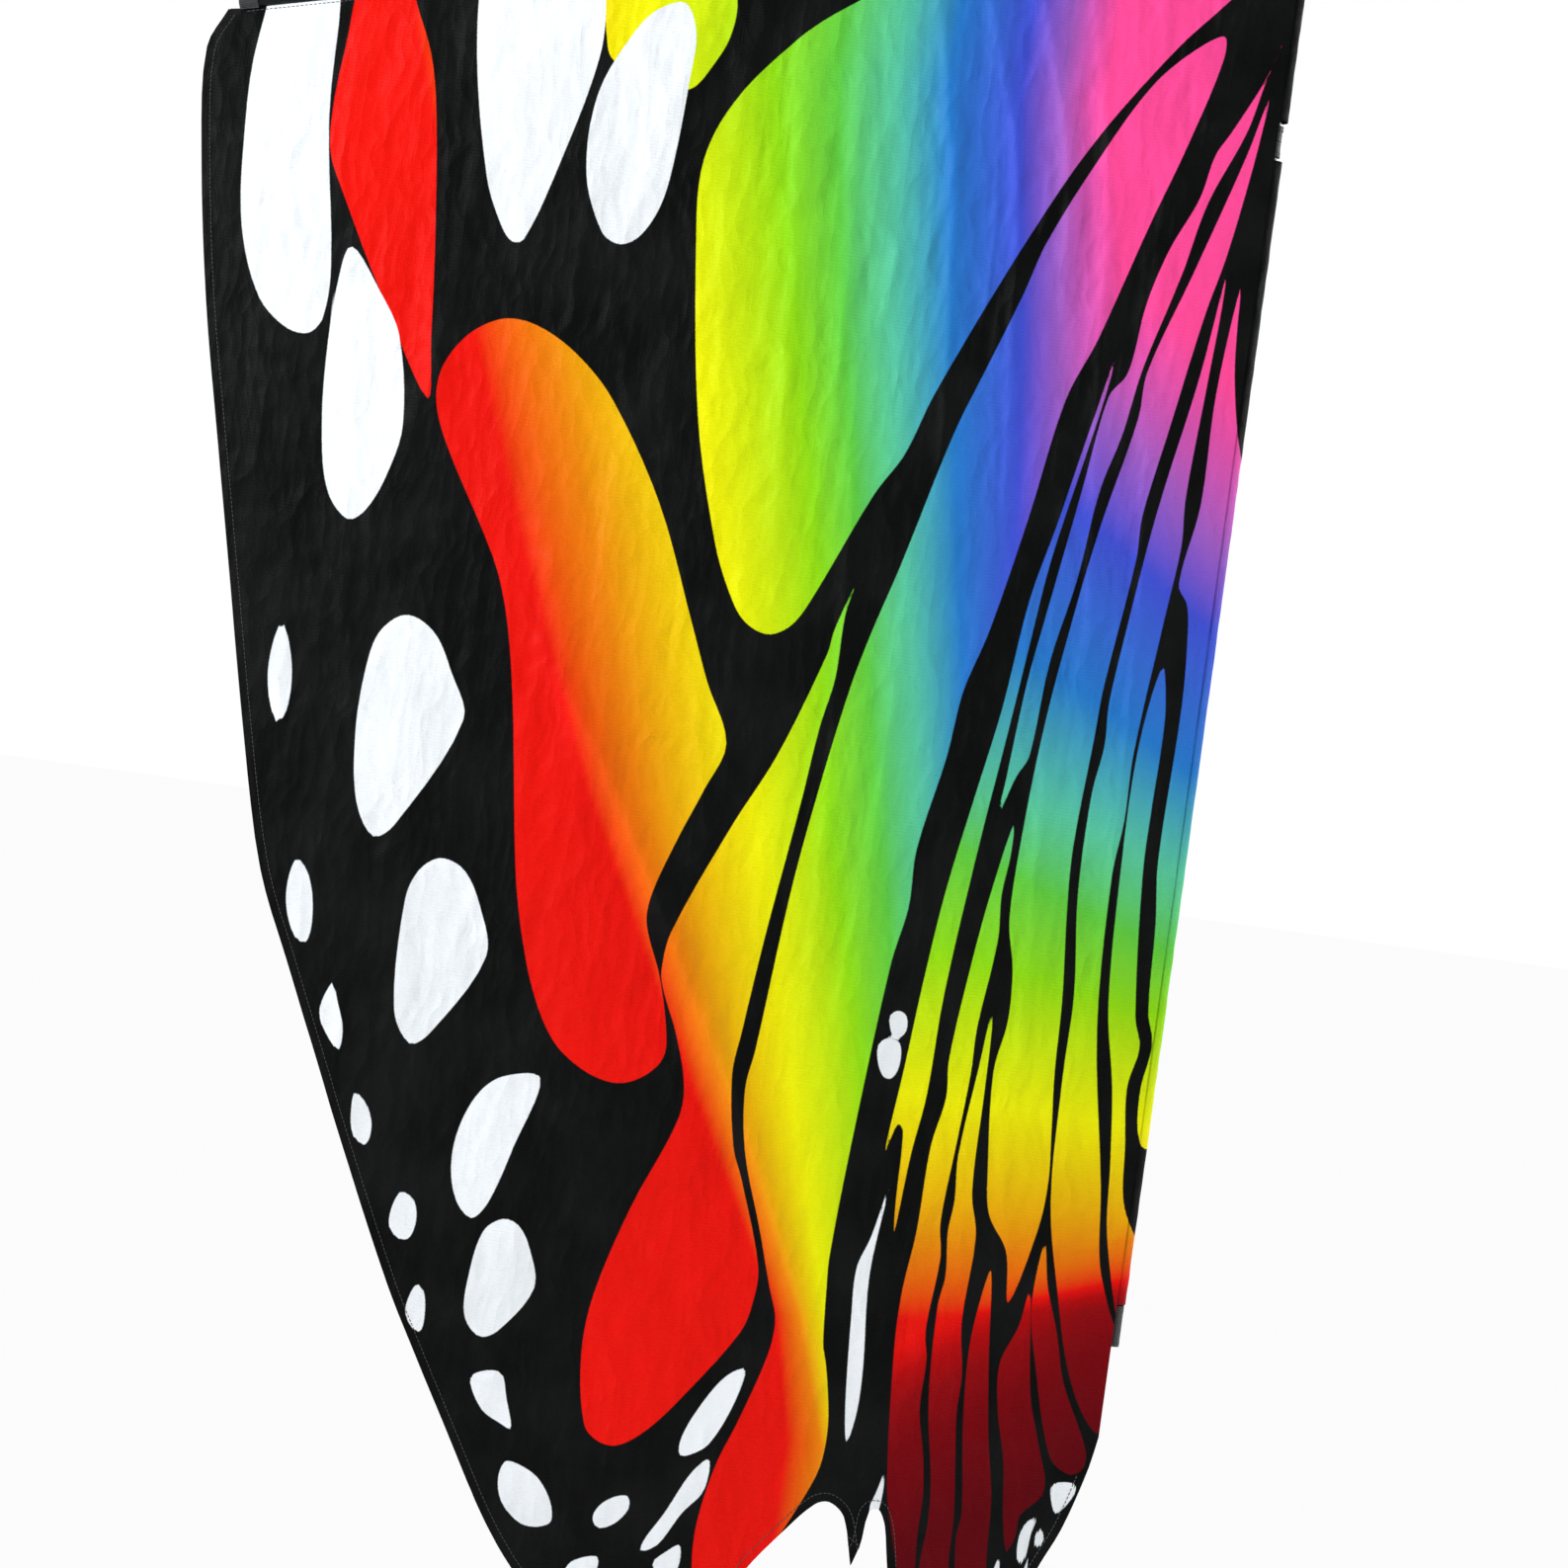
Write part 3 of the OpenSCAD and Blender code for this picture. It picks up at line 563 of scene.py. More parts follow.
def taffeta_bump(paint, ribs=0.00022):
    """Fine plain weave with a stronger rib every few threads, over soft crinkles."""
    at = paint.place()
    rib = paint.wave(at, wave_scale(2.6), "Z", 0.6).above(0.62, 0.95)
    cross = paint.wave(at, wave_scale(5.2), "X", 0.8).above(0.9, 0.99)
    threads = paint.wave(at, wave_scale(0.9), "X", 0.3) + paint.wave(at, wave_scale(0.9), "Z", 0.3)
    stretched = paint.node("ShaderNodeMapping", i0=at, i2=(0, 0.12, 0), i3=(1.0, 1.0, 0.36))
    bent = paint.node(
        "ShaderNodeVectorMath", {"operation": "MULTIPLY_ADD"},
        i0=paint.noise_colour(at, 16.0), i1=(0.03, 0.03, 0.03), i2=stretched,
    )
    crinkle = paint.facets(bent, 38.0) + 0.5 * paint.facets(bent, 96.0) + 0.35 * paint.noise(at, 46.0, 4.0, 0.6)
    fine = paint.bump(rib + 0.5 * cross + 0.35 * threads, ribs, 0.5)
    return paint.bump(crinkle, 0.0034, 0.6, under=fine)


def printed_cloth():
    paint = Paint("printed_taffeta", Base_Color=WHITE, Roughness=0.5, Specular_IOR_Level=0.07)
    cell_a, cell_b, cell_c, spot, dye = (paint.attribute(name) for name in ("cell_a", "cell_b", "cell_c", "spot", "dye"))
    inside = cell_a.least(cell_b).least(cell_c)
    at = paint.place()
    fibre = (paint.noise(at, 900.0, 1.0) - 0.5) * 0.5
    # The ramp ends in dark reds that are partly the print's deeper red and partly painted shade.
    colour = paint.node("ShaderNodeValToRGB", {"stops": DYE_AND_SHADE_STOPS}, i0=dye * DYE_SHARE)
    faded = paint.deepen(paint.noise(at, 9.0, 3.0).above(0.3, 0.75) * 0.5, colour, 0.86)
    ink = two_tone(paint, BLACK, (0.0046, 0.0050, 0.0052, 1), 14.0)
    printed = paint.mix((inside + fibre).above(-0.55, 0.45), faded, ink)
    bleached = paint.mix(paint.noise(at, 7.0, 2.0).above(0.35, 0.7), WHITE, (0.72, 0.76, 0.79, 1))
    whole = paint.mix((spot + fibre).above(-0.55, 0.45), bleached, printed)
    rough = 0.44 + 0.16 * paint.noise(at, 30.0, 3.0) - 0.07 * (inside * -1.0).above(-0.5, 0.5)
    paint.feed(Base_Color=whole, Roughness=rough, Normal=taffeta_bump(paint))
    return paint.material


def black_taffeta(name="black_taffeta"):
    paint = Paint(name, Base_Color=BLACK, Roughness=0.5, Specular_IOR_Level=0.16, Sheen_Weight=0.02, Sheen_Roughness=0.4)
    at = paint.place()
    rough = 0.45 + 0.16 * paint.noise(at, 30.0, 3.0)
    paint.feed(Base_Color=two_tone(paint, BLACK, (0.0055, 0.0058, 0.0062, 1), 18.0), Roughness=rough, Normal=taffeta_bump(paint))
    return paint.material


def woven_tape(name, rib, direction, dark, light, cross="Y"):
    """Narrow woven goods: ribs across the tape, with the warp showing between them."""
    paint = Paint(name, Base_Color=dark, Roughness=0.7, Specular_IOR_Level=0.3, Sheen_Weight=0.3, Sheen_Roughness=0.5)
    at = paint.place()
    ribs = paint.wave(at, wave_scale(rib), direction, 0.4)
    warp = paint.wave(at, wave_scale(0.8), cross, 0.4)
    fuzz = paint.noise(at, 1500.0, 2.0)
    colour = paint.mix((0.6 * ribs + 0.3 * warp + 0.2 * fuzz).above(0.35, 1.0), dark, light)
    paint.feed(Base_Color=colour, Roughness=0.62 + 0.2 * fuzz, Normal=paint.bump(ribs + 0.6 * warp + 0.3 * fuzz, 0.00035, 0.8))
    return paint.material


def sewing_thread():
    paint = Paint("sewing_thread", Base_Color=(0.03, 0.031, 0.034, 1), Roughness=0.5, Specular_IOR_Level=0.4, Sheen_Weight=0.2)
    at = paint.place(turn=(0.6, 0.4, 0.8))
    twist = paint.wave(at, wave_scale(0.5), "DIAGONAL", 0.2)
    paint.feed(Base_Color=paint.mix(twist, (0.016, 0.017, 0.019, 1), (0.06, 0.062, 0.068, 1)), Normal=paint.bump(twist, 0.0001, 0.7))
    return paint.material


def fibre_tube(name, turn=0.0):
    """Pultruded glass fibre: long streaks down the tube under a thin resin skin."""
    paint = Paint(name, Base_Color=(0.022, 0.023, 0.025, 1), Roughness=0.34, Coat_Weight=0.35, Coat_Roughness=0.22)
    along = paint.node("ShaderNodeMapping", i0=paint.place(turn=(0, turn, 0)), i3=(1.0, 1.0, 0.012))
    streak = paint.noise(along, 2600.0, 4.0, 0.7)
    smudge = paint.noise(paint.place(), 38.0, 4.0, 0.6)
    colour = paint.mix(streak.above(0.35, 0.75), (0.014, 0.015, 0.017, 1), (0.05, 0.051, 0.054, 1))
    paint.feed(Base_Color=colour, Roughness=0.26 + 0.2 * smudge, Normal=paint.bump(streak, 0.00006, 0.6))
    return paint.material


def moulded_nylon():
    paint = Paint("moulded_nylon", Base_Color=(0.03, 0.031, 0.033, 1), Roughness=0.5, Specular_IOR_Level=0.4)
    at = paint.place()
    grain, scuff = paint.noise(at, 2400.0, 3.0), paint.noise(at, 190.0, 6.0, 0.7).above(0.56, 0.7)
    colour = paint.mix(scuff * 0.55, two_tone(paint, (0.024, 0.025, 0.027, 1), (0.04, 0.041, 0.043, 1)), (0.11, 0.11, 0.112, 1))
    paint.feed(Base_Color=colour, Roughness=0.42 + 0.16 * scuff + 0.1 * grain, Normal=paint.bump(grain, 0.00008, 0.7))
    return paint.material


def dipped_vinyl():
    paint = Paint("dipped_vinyl", Base_Color=(0.012, 0.012, 0.013, 1), Roughness=0.36, Specular_IOR_Level=0.5, Coat_Weight=0.1)
    at = paint.place()
    dimple, dust = paint.noise(at, 800.0, 2.0), paint.noise(at, 120.0, 5.0, 0.7).above(0.5, 0.75)
    colour = paint.mix(dust * 0.5, (0.010, 0.010, 0.011, 1), (0.05, 0.05, 0.052, 1))
    paint.feed(Base_Color=colour, Roughness=0.3 + 0.25 * dust, Normal=paint.bump(dimple, 0.00007, 0.6))
    return paint.material


def nickel_plate():
    paint = Paint("nickel_plate", Base_Color=(0.74, 0.72, 0.68, 1), Metallic=1.0, Roughness=0.25)
    at = paint.place()
    tarnish = paint.noise(at, 260.0, 5.0, 0.7).above(0.5, 0.8)
    scratches = paint.noise(paint.node("ShaderNodeMapping", i0=at, i2=(0.2, 0.5, 0.3), i3=(1.0, 1.0, 12.0)), 420.0, 3.0, 0.8)
    colour = paint.mix(tarnish, (0.76, 0.74, 0.70, 1), (0.48, 0.42, 0.33, 1))
    paint.feed(Base_Color=colour, Roughness=0.16 + 0.18 * scratches + 0.18 * tarnish, Normal=paint.bump(scratches, 0.00003, 0.5))
    return paint.material


PRINTED, BLACK_CLOTH, THREAD = printed_cloth(), black_taffeta(), sewing_thread()
DARK_WEB, LIGHT_WEB = (0.010, 0.0105, 0.0115, 1), (0.042, 0.043, 0.047, 1)
WEBBING = woven_tape("pocket_webbing", 1.3, "Z", DARK_WEB, LIGHT_WEB)
GROSGRAIN = woven_tape("grosgrain_binding", 1.1, "DIAGONAL", DARK_WEB, LIGHT_WEB)
UPRIGHT_TUBE, LEAD_TUBE = fibre_tube("fibre_upright"), fibre_tube("fibre_leading", math.pi / 2 - DROOP)
NYLON, VINYL, NICKEL = moulded_nylon(), dipped_vinyl(), nickel_plate()
NODE_FINISH = {
    "spine_rod": UPRIGHT_TUBE, "spreader_rod": UPRIGHT_TUBE, "leading_spar": LEAD_TUBE,
    "spine_top_cap": VINYL, "spine_foot_cap": VINYL, "spar_caps": VINYL, "spreader_tip": VINYL,
    "hinge_collars": NYLON, "knuckle": NYLON, "spar_clip": NYLON, "spreader_eye": NYLON,
    "nose_rivet": NICKEL, "tow_eyelet": NICKEL, "tow_washer": NICKEL, "pivot_pin": NICKEL,
}
for node, part in NODES.items():
    finish = NODE_FINISH.get(node.replace("left_", "").replace("right_", ""))
    if finish:
        for place in part.material_slots:
            place.material = finish


# ---- making cloth and sewn goods ----


def finish(name, made, body, slot, material, *replaced):
    """Names a finished piece and hangs it on its body."""
    made.name = made.data.name = name
    made.data.materials.clear()
    made.data.materials.append(material)
    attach(made, body)
    if replaced:
        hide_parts(*replaced)
    return made


def put_fields(mesh, fields):
    """Stores one value for each vertex under each label, for the shaders to read."""
    for label, values in fields.items():
        stored = mesh.attributes.new(label, "FLOAT", "POINT")
        stored.data.foreach_set("value", values.reshape(-1).astype(np.float32))


def lay_cloth(name, points, around=False, ends_meet=False, flip=False, fields=None):
    """A mesh of rows and columns of points in millimetres.

    around joins the last column to the first, and ends_meet the last row to the first.
    """
    rows, columns = points.shape[:2]
    index = np.arange(rows * columns).reshape(rows, columns)
    if around:
        index = np.concatenate([index, index[:, :1]], 1)
    if ends_meet:
        index = np.concatenate([index, index[:1]], 0)
    faces = np.stack([index[:-1, :-1], index[1:, :-1], index[1:, 1:], index[:-1, 1:]], -1).reshape(-1, 4)
    if flip:
        faces = faces[:, ::-1]
    mesh = bpy.data.meshes.new(name)
    mesh.vertices.add(rows * columns)
    mesh.vertices.foreach_set("co", (points.reshape(-1) * MM).astype(np.float32))
    mesh.loops.add(faces.size)
    mesh.loops.foreach_set("vertex_index", faces.reshape(-1).astype(np.int32))
    mesh.polygons.add(len(faces))
    mesh.polygons.foreach_set("loop_start", (np.arange(len(faces)) * 4).astype(np.int32))
    mesh.update(calc_edges=True)
    mesh.validate()
    mesh.shade_smooth()
    if fields:
        put_fields(mesh, fields)
    made = bpy.data.objects.new(name, mesh)
    bpy.context.scene.collection.objects.link(made)
    return made


def deselect():
    for item in bpy.context.selected_objects:
        item.select_set(False)


def modelled(primitive, **settings):
    """Adds a primitive by hand, the only thing selected."""
    deselect()
    primitive(**settings)
    return bpy.context.object


def pick(made, test, kind="verts"):
    """In edit mode, selects the vertices, edges or faces whose middles pass the test, in millimetres."""
    bpy.ops.object.mode_set(mode="OBJECT")
    mesh = made.data
    bpy.context.tool_settings.mesh_select_mode = (kind == "verts", kind == "edges", kind == "faces")
    for group in (mesh.vertices, mesh.edges, mesh.polygons):
        group.foreach_set("select", [False] * len(group))
    at = [vertex.co / MM for vertex in mesh.vertices]
    group = {"verts": mesh.vertices, "edges": mesh.edges, "faces": mesh.polygons}[kind]
    for item in group:
        ends = [item.index] if kind == "verts" else list(item.vertices)
        if test(sum((at[i] for i in ends), Vector()) / len(ends)):
            item.select = True
    bpy.ops.object.mode_set(mode="EDIT")


def settle(made, smooth=40):
    """Leaves edit mode, applies modifiers and puts the piece's place in its mesh."""
    if bpy.context.mode != "OBJECT":
        bpy.ops.object.mode_set(mode="OBJECT")
    deselect()
    made.select_set(True)
    bpy.context.view_layer.objects.active = made
    for modifier in list(made.modifiers):
        bpy.ops.object.modifier_apply(modifier=modifier.name)
    bpy.ops.object.transform_apply(location=True, rotation=True, scale=True)
    bpy.ops.object.shade_smooth_by_angle(angle=math.radians(smooth))
    return made


def join(parts):
    """Makes one piece of several, kept under the first one's name."""
    deselect()
    for part in parts:
        part.select_set(True)
    bpy.context.view_layer.objects.active = parts[0]
    bpy.ops.object.join()
    return parts[0]


def add_modifier(made, kind, **settings):
    modifier = made.modifiers.new(kind.lower(), kind)
    for name, value in settings.items():
        setattr(modifier, name, value)
    return modifier


def one_stitch():
    """A single stitch: a short rounded thread that dips into the cloth at both ends."""
    stitch = modelled(
        bpy.ops.mesh.primitive_cylinder_add, vertices=6,
        radius=0.32 * MM, depth=2.0 * MM, rotation=(0, math.pi / 2, 0),
    )
    bpy.ops.object.transform_apply(location=True, rotation=True, scale=True)
    bpy.ops.object.mode_set(mode="EDIT")
    pick(stitch, lambda at: abs(at.x) > 0.9, "faces")
    bpy.ops.mesh.extrude_region_move(TRANSFORM_OT_translate={"value": (0, 0, 0)})
    bpy.ops.transform.resize(value=(1.35, 0.45, 0.45))
    settle(stitch, 80)
    count = len(stitch.data.vertices)
    points = np.zeros(count * 3)
    stitch.data.vertices.foreach_get("co", points)
    faces = [list(face.vertices) for face in stitch.data.polygons]
    bpy.data.objects.remove(stitch)
    return points.reshape(-1, 3) / MM, faces


STITCH_POINTS, STITCH_FACES = one_stitch()


def sew(name, lines, body, pitch=3.6, length=2.6, thick=1.0, slot="binding"):
    """Rows of stitches along lines of points in millimetres, each stitch lying along its line."""
    places = []
    for line in lines:
        line = np.array(line, float)
        gaps = np.linalg.norm(np.diff(line, axis=0), axis=1)
        run = np.concatenate([[0], np.cumsum(gaps)])
        middles = np.arange(pitch * 0.7, run[-1] - pitch * 0.4, pitch)
        for centre in middles:
            a, b = (np.array([np.interp(centre + shift, run, line[:, k]) for k in range(3)]) for shift in (-length / 2, length / 2))
            places.append((a, b))
    points, faces = [], []
    for a, b in places:
        along = (b - a) / max(np.linalg.norm(b - a), 1e-6)
        side = np.cross(along, (0.31, 0.94, 0.14))
        side /= np.linalg.norm(side)
        turn = np.stack([along, side, np.cross(along, side)])
        start = sum(len(p) for p in points[-1:]) + (faces[-1][1] if faces else 0)
        points.append((STITCH_POINTS * (np.linalg.norm(b - a) / 2.7, thick, thick)) @ turn + (a + b) / 2)
        faces.append((None, start))
    vertices = np.concatenate(points) * MM
    shapes = [[i + start for i in face] for _, start in faces for face in STITCH_FACES]
    mesh = bpy.data.meshes.new(name)
    mesh.from_pydata(vertices.tolist(), [], shapes)
    mesh.shade_smooth()
    made = bpy.data.objects.new(name, mesh)
    bpy.context.scene.collection.objects.link(made)
    return finish(name, made, body, slot, THREAD)


# ---- camera, light and floor ----

LOOK_AT = Vector((-0.3244, 0.0, -0.797))
camera = bpy.data.objects.new("camera", bpy.data.cameras.new("camera"))
up = Vector((-0.1362, 0.0, 0.9907)).normalized()
camera.matrix_world = Matrix.Translation(LOOK_AT - Vector((0, 2.509, 0))) @ Matrix((
    (up.z, up.x, 0, 0), (0, 0, -1, 0), (-up.x, up.z, 0, 0), (0, 0, 0, 1),
))
camera.data.lens, camera.data.sensor_width = 70.9, 36.0
bpy.context.scene.collection.objects.link(camera)
bpy.context.scene.camera = camera
bpy.context.scene.view_settings.view_transform = "Standard"


def lamp(name, place, aim, size, power, colour=(1, 1, 1)):
    light = bpy.data.lights.new(name, "AREA")
    light.size, light.energy, light.color = size, power, colour
    item = bpy.data.objects.new(name, light)
    item.location = place
    item.rotation_euler = (Vector(aim) - Vector(place)).to_track_quat("-Z", "Y").to_euler()
    bpy.context.scene.collection.objects.link(item)


lamp("window", (-2.5, -1.75, 0.35), (-0.35, 0, -0.7), 0.55, 84, (1.0, 1.0, 1.0))
lamp("bounce", (1.2, -2.6, 1.0), (-0.2, 0, -0.5), 1.8, 10, (1.0, 0.99, 0.97))
lamp("behind", (1.4, 2.6, 0.7), (-0.4, 0, -0.8), 1.6, 70, (0.97, 0.98, 1.0))
lamp("front", (3.0, -0.1, 0.1), (0.0, 0, -0.7), 1.2, 75, (1.0, 1.0, 1.0))
lamp("side", (-2.8, 2.0, 0.2), (-0.4, 0, -0.8), 1.6, 34, (1.0, 1.0, 1.0))

world = bpy.data.worlds.new("studio")
world.use_nodes = True
bpy.context.scene.world = world
nodes, links = world.node_tree.nodes, world.node_tree.links
backdrop, soft, ray, both = (nodes.new(kind) for kind in (
    "ShaderNodeBackground", "ShaderNodeBackground", "ShaderNodeLightPath", "ShaderNodeMixShader"))
backdrop.inputs["Color"].default_value = soft.inputs["Color"].default_value = (1, 1, 1, 1)
backdrop.inputs["Strength"].default_value, soft.inputs["Strength"].default_value = 1.0, 0.2
links.new(ray.outputs["Is Camera Ray"], both.inputs[0])
links.new(soft.outputs[0], both.inputs[1])
links.new(backdrop.outputs[0], both.inputs[2])
links.new(both.outputs[0], nodes["World Output"].inputs[0])

floor_paint = Paint("pale_floor", Base_Color=(0.86, 0.86, 0.86, 1), Roughness=0.9)
mottle = floor_paint.noise(floor_paint.place(), 3.0, 4.0)
floor_paint.feed(Base_Color=floor_paint.mix(mottle, (0.86, 0.86, 0.86, 1), (0.89, 0.89, 0.885, 1)))
glow = floor_paint.node("ShaderNodeEmission", i0=(1, 1, 1, 1), i1=0.97)
seen = floor_paint.node("ShaderNodeLightPath")
shown = floor_paint.node("ShaderNodeMixShader", i0=seen, i1=Signal(floor_paint, floor_paint.shader.outputs[0]), i2=glow)
floor_paint.tree.links.new(shown.socket, floor_paint.tree.nodes["Material Output"].inputs[0])
floor = modelled(bpy.ops.mesh.primitive_plane_add, size=60, location=(-0.4, 0, CAD_BOX[0][2] - 0.09))
settle(floor)
floor.name = "floor"
floor.data.materials.append(floor_paint.material)

# ---- sails ----

WINDOW_LOW = 3.6  # how far the sail's top edge dips under the spreader clip


def top_edge(u):
    """Depth of the sail's top edge, just under the leading edge sleeve."""
    corner = lead_at(TIP_S - 2, LEAD_CLEAR)
    line = u * math.tan(DROOP) + LEAD_CLEAR / math.cos(DROOP)
    dip = WINDOW_LOW * step(CLIP_GAP + 1, CLIP_GAP - 1, np.abs(u - CLIP_S * math.cos(DROOP)))
    arc = FREE_EDGE[: WIDEST + 1]
    outer = np.interp(u, np.concatenate([[corner[0]], arc[:, 0]]), np.concatenate([[corner[1]], arc[:, 1]]))
    return np.where(u <= corner[0], line + dip, outer)


def low_edge(u):
    """Depth of the sail's free lower edge."""
    arc = FREE_EDGE[WIDEST:][::-1]
    return np.interp(u, arc[:, 0], arc[:, 1])


WIDE, TIP_U = FREE_EDGE[WIDEST, 0] - 0.05, 845.0
ACROSS = np.concatenate([
    np.linspace(0, 330, 151)[:-1], np.linspace(330, TIP_U, 121)[:-1],
    WIDE - (WIDE - TIP_U) * (1 - np.sin(np.linspace(0, math.pi / 2, 14))),
])
DOWN = np.linspace(0, 1, 342)
U = np.broadcast_to(ACROSS, (len(DOWN), len(ACROSS)))
D = top_edge(ACROSS) + DOWN[:, None] * (low_edge(ACROSS) - top_edge(ACROSS))
LIFT = sail_lift(U.ravel(), D.ravel()).reshape(U.shape)


def printed(u, d):
    """The print's fields, ready for a mesh of the same rows and columns."""
    return {label: field.reshape(u.shape) for label, field in print_fields(u.ravel(), d.ravel()).items()}


def on_side(u, d, out, side):
    """Points in millimetres from across, down and how far out from the spine's own plane."""
    return np.stack([-u, side * out + 0 * u, NOSE_Z - d], -1)


def edge_run(inset, stop=0.985, spacing=3.0):
    """Points along the free edge, moved into the cloth by the inset."""
    run = np.concatenate([[0], np.cumsum(np.hypot(*np.diff(FREE_EDGE, axis=0).T))])
    at = np.arange(0, stop * run[-1], spacing)
    u, d = np.interp(at, run, FREE_EDGE[:, 0]), np.interp(at, run, FREE_EDGE[:, 1])
    du, dd = np.gradient(u), np.gradient(d)
    length = np.hypot(du, dd)
    u, d = u - inset * dd / length, d + inset * du / length
    return u, np.minimum(d, low_edge(u) - 0.1 * (inset > 0.1))


def lift_at(u, d):
    """The cloth's lift at loose points, from the sail's own rows and columns."""
    column = np.clip(np.searchsorted(ACROSS, u) - 1, 0, len(ACROSS) - 2)
    share = np.clip((u - ACROSS[column]) / (ACROSS[column + 1] - ACROSS[column]), 0, 1)
    out = 0.0
    for beside, weight in ((column, 1 - share), (column + 1, share)):
        top, low = D[0, beside], D[-1, beside]
        row = np.clip((d - top) / np.maximum(low - top, 1e-6), 0, 1) * (len(DOWN) - 1)
        base = np.minimum(row.astype(int), len(DOWN) - 2)
        out = out + weight * (LIFT[base, beside] * (1 - row + base) + LIFT[base + 1, beside] * (row - base))
    return out


def ring_section(radius, count=28, gap=0.0):
    """A round section, as pairs of down and out, left open at the bottom by the gap's angle."""
    turn = np.linspace(gap, 2 * math.pi - gap, count, endpoint=gap > 0)
    return np.stack([radius * np.cos(turn), radius * np.sin(turn)], -1)


def drop_section(radius, seam, half=0.6, arc=27, straight=5):
    """A section round over the spine, closing to a seam behind it."""
    bend = math.pi - math.acos(radius / seam)
    turn = np.linspace(-bend, bend, arc)
    curve = np.stack([radius * np.cos(turn), radius * np.sin(turn)], -1)
    t = np.linspace(0, 1, straight + 1)[1:, None]
    left, right = np.array([-seam, half]), np.array([-seam, -half])
    return np.concatenate([curve, curve[-1] * (1 - t) + left * t, [right], (right * (1 - t) + curve[0] * t)[:-1]])


def down_spine(section, z):
    return np.stack([section[:, 0], section[:, 1], np.full(len(section), z)], -1)


def along_lead(section, s, side):
    """A section of down and out, set square on the leading edge at s from the nose."""
    u, d = lead_at(s, section[:, 0])
    return on_side(u, d, FOLD + section[:, 1], side)


def sewn_tube(name, outer, inner, stations, put, pucker=0.25, grain=9.0, **extra):
    """A cloth tube with a wall: rows of the outer section, then of the inner one back again."""
    rows = []
    for i, s in enumerate(stations):
        turn = np.linspace(0, 12, len(outer), endpoint=False)
        wrinkle = 1 - pucker * 0.5 * (1 + noise(turn, np.full(turn.shape, s / grain), 5)) / np.linalg.norm(outer, axis=1)
        rows.append(put(outer * wrinkle[:, None], s))
    rows += [put(inner, s) for s in stations[::-1]]
    points = np.array(rows)
    return lay_cloth(name, points, around=True, ends_meet=True, **extra), points


def between(start, end, spacing):
    return np.linspace(start, end, max(2, int(abs(end - start) / spacing)))


